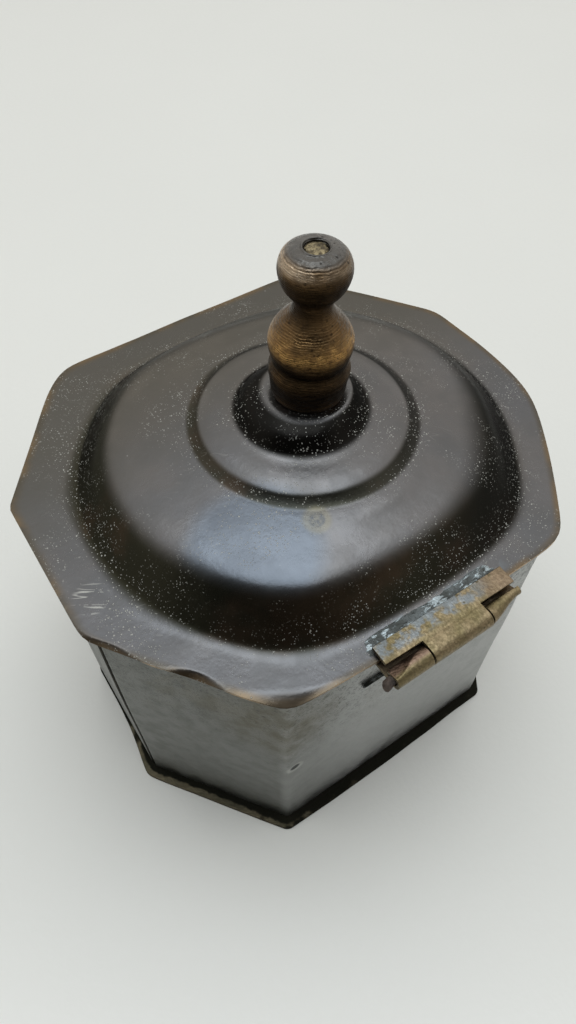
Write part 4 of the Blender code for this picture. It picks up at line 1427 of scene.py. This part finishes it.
def flange_height(x, y):
    """The height of the lid's flange at a place near the hinge."""
    radius = MEAN_HALF - (HALF_WIDTH - y)
    place = Vector((x, y, FLANGE_TOP))
    return FLANGE_TOP + hammered(place, radius)


def wipe_solder():
    low, high = SOLDER_ENDS
    bm = bmesh.new()
    bmesh.ops.create_grid(bm, x_segments=230, y_segments=36, size=0.5)
    for vert in bm.verts:
        x = low + (vert.co.x + 0.5) * (high - low)
        y = SOLDER_INNER + (vert.co.y + 0.5) * (LEAF_INNER + 1.0 * MM - SOLDER_INNER)
        near_leaf = ease(y, SOLDER_INNER, SOLDER_INNER + 1.4 * MM)
        ends = ease(x, low, low + 6 * MM) * ease(x, high, high - 8 * MM)
        broken = ripple(Vector((x * 0.4, y, 0)), 2.2 * MM, 1.0)
        fine = ripple(Vector((x * 0.4, y, 0)), 0.5 * MM, 6.0)
        height = (0.14 * near_leaf + 0.09 * broken + 0.04 * fine) * ends - 0.03
        border = min(vert.co.y + 0.5, 1.0) * 8
        height -= 0.4 * (1 - min(1.0, border))
        vert.co = (x, y, flange_height(x, y) + height * MM)
    point_faces(bm, (0, 0, 1))
    piece = add_piece("leaf_solder", bm, LID, SOFT_SOLDER, ["lid_leaf_solder"], 80)
    add_thickness(piece, 0.35 * MM)
    return piece


wipe_solder()

# %% [markdown]
# ## Floor, light and camera
# The caddy stands on a pale board, painted paler towards the near side as the light there. One
# wide soft light hangs over it. The rest of the light comes from the room, which is pale, brighter
# upwards, and brightest low on the far side, like a window there. The near side of the room is
# dark, because metal shows what stands before it, and the lid's dark slopes come partly from there
# and partly from painted shade on them.

# %% Floor
def board():
    material, tree, shader = metal_base("pale_board", metallic=0.0, roughness=0.6)
    drift = use(tree, CLOUDS, Size=0.25, Low=0.3, High=0.7)
    grain = use(tree, CLOUDS, Size=0.002, Low=0.3, High=0.7)
    here = node(tree, "TexCoord").outputs["Object"]
    towards = measure(tree, "DOT_PRODUCT", here, NEAR_SIDE.to_3d())
    # Painted light: the board is paler towards the near side, as if more light fell there.
    painted_light_near = step_between(tree, towards, 0.05, 0.22)
    colour = blend_colour(tree, drift, (0.66, 0.648, 0.606), (0.675, 0.663, 0.62))
    colour = blend_colour(tree, painted_light_near, colour, (0.87, 0.855, 0.82))
    rough = step_between(tree, grain, 0.0, 1.0, 0.55, 0.65)
    connect(tree, shader, Base_Color=colour, Roughness=rough)
    add_bumps(tree, shader, (grain, 0.02 * MM))
    return material


FLOOR_REACH = 1.6


def lay_floor():
    bm = bmesh.new()
    bmesh.ops.create_grid(bm, x_segments=8, y_segments=8, size=FLOOR_REACH)
    mesh = bpy.data.meshes.new("floor")
    bm.to_mesh(mesh)
    bm.free()
    mesh.materials.append(board())
    floor = bpy.data.objects.new("floor", mesh)
    bpy.context.scene.collection.objects.link(floor)
    return floor


lay_floor()

# %% Lights
LOOKED_AT = Vector((0.0105, 0.0161, 0.0892))


def soft_light(name, place, size, power, colour=(1, 1, 1), aim=LOOKED_AT):
    """A square area light of the given size in metres, aimed at the lid."""
    lamp = bpy.data.lights.new(name, "AREA")
    lamp.shape = "RECTANGLE"
    lamp.size, lamp.size_y = size
    lamp.energy = power
    lamp.color = colour
    light = bpy.data.objects.new(name, lamp)
    light.location = place
    light.rotation_euler = (Vector(place) - aim).to_track_quat("Z", "Y").to_euler()
    light.visible_camera = False
    bpy.context.scene.collection.objects.link(light)
    return light


soft_light("overhead", (0.02, 0.03, 1.2), (0.8, 0.8), 5.2, (0.84, 0.93, 1.0))

# %% The room
# How bright the room is towards the ceiling and the horizon, and where it is dark.
HORIZON, CEILING = 0.60, 1.38
DARK_SIDE = Vector((0.452, 0.671, 0.588))


def light_room():
    """A pale room, brighter upwards, with a dark side towards the person who looks."""
    world = bpy.data.worlds.new("room")
    bpy.context.scene.world = world
    world.use_nodes = True
    tree = world.node_tree
    backdrop = tree.nodes["Background"]
    towards = node(tree, "TexCoord").outputs["Generated"]
    up = node(tree, "SeparateXYZ", Vector=towards).outputs["Z"]
    level = step_between(tree, up, 0.1, 0.95, HORIZON, CEILING)
    facing = measure(tree, "DOT_PRODUCT", towards, DARK_SIDE)
    dark = step_between(tree, facing, 0.45, 0.85)
    lit = maths(tree, "SUBTRACT", 1.0, maths(tree, "MULTIPLY", dark, 0.85))
    level = maths(tree, "MULTIPLY", level, lit)
    behind = measure(tree, "DOT_PRODUCT", towards, -NEAR_SIDE.to_3d())
    under, over = step_between(tree, up, 0.6, 0.35), step_between(tree, up, 0.0, 0.06)
    low = maths(tree, "MULTIPLY", under, over)
    window = maths(tree, "MULTIPLY", low, step_between(tree, behind, 0.3, 0.8))
    raised = maths(tree, "ADD", 1.0, maths(tree, "MULTIPLY", window, 0.9))
    level = maths(tree, "MULTIPLY", level, raised)
    tree.links.new(level, backdrop.inputs["Strength"])
    cool = step_between(tree, up, 0.5, 0.95)
    sky = blend_colour(tree, cool, (1.0, 0.985, 0.94), (0.93, 0.97, 1.0))
    tree.links.new(sky, backdrop.inputs["Color"])


light_room()
bpy.context.scene.view_settings.view_transform = "Standard"

# %% Camera
CAMERA_PLACE = Vector((0.064667, 0.096812, 0.222988))
CAMERA_BACK = Vector((0.3275, 0.4881, 0.8090))
CAMERA_ROLL = radians(0.19)

lens = bpy.data.cameras.new("camera")
lens.lens = 25.76
lens.sensor_width = 36.0
lens.clip_start = 0.01
camera = bpy.data.objects.new("camera", lens)
camera.location = CAMERA_PLACE
turn = CAMERA_BACK.to_track_quat("Z", "Y") @ Matrix.Rotation(CAMERA_ROLL, 3, "Z").to_quaternion()
camera.rotation_euler = turn.to_euler()
bpy.context.scene.collection.objects.link(camera)
bpy.context.scene.camera = camera

# %% Finish
bpy.context.view_layer.update()
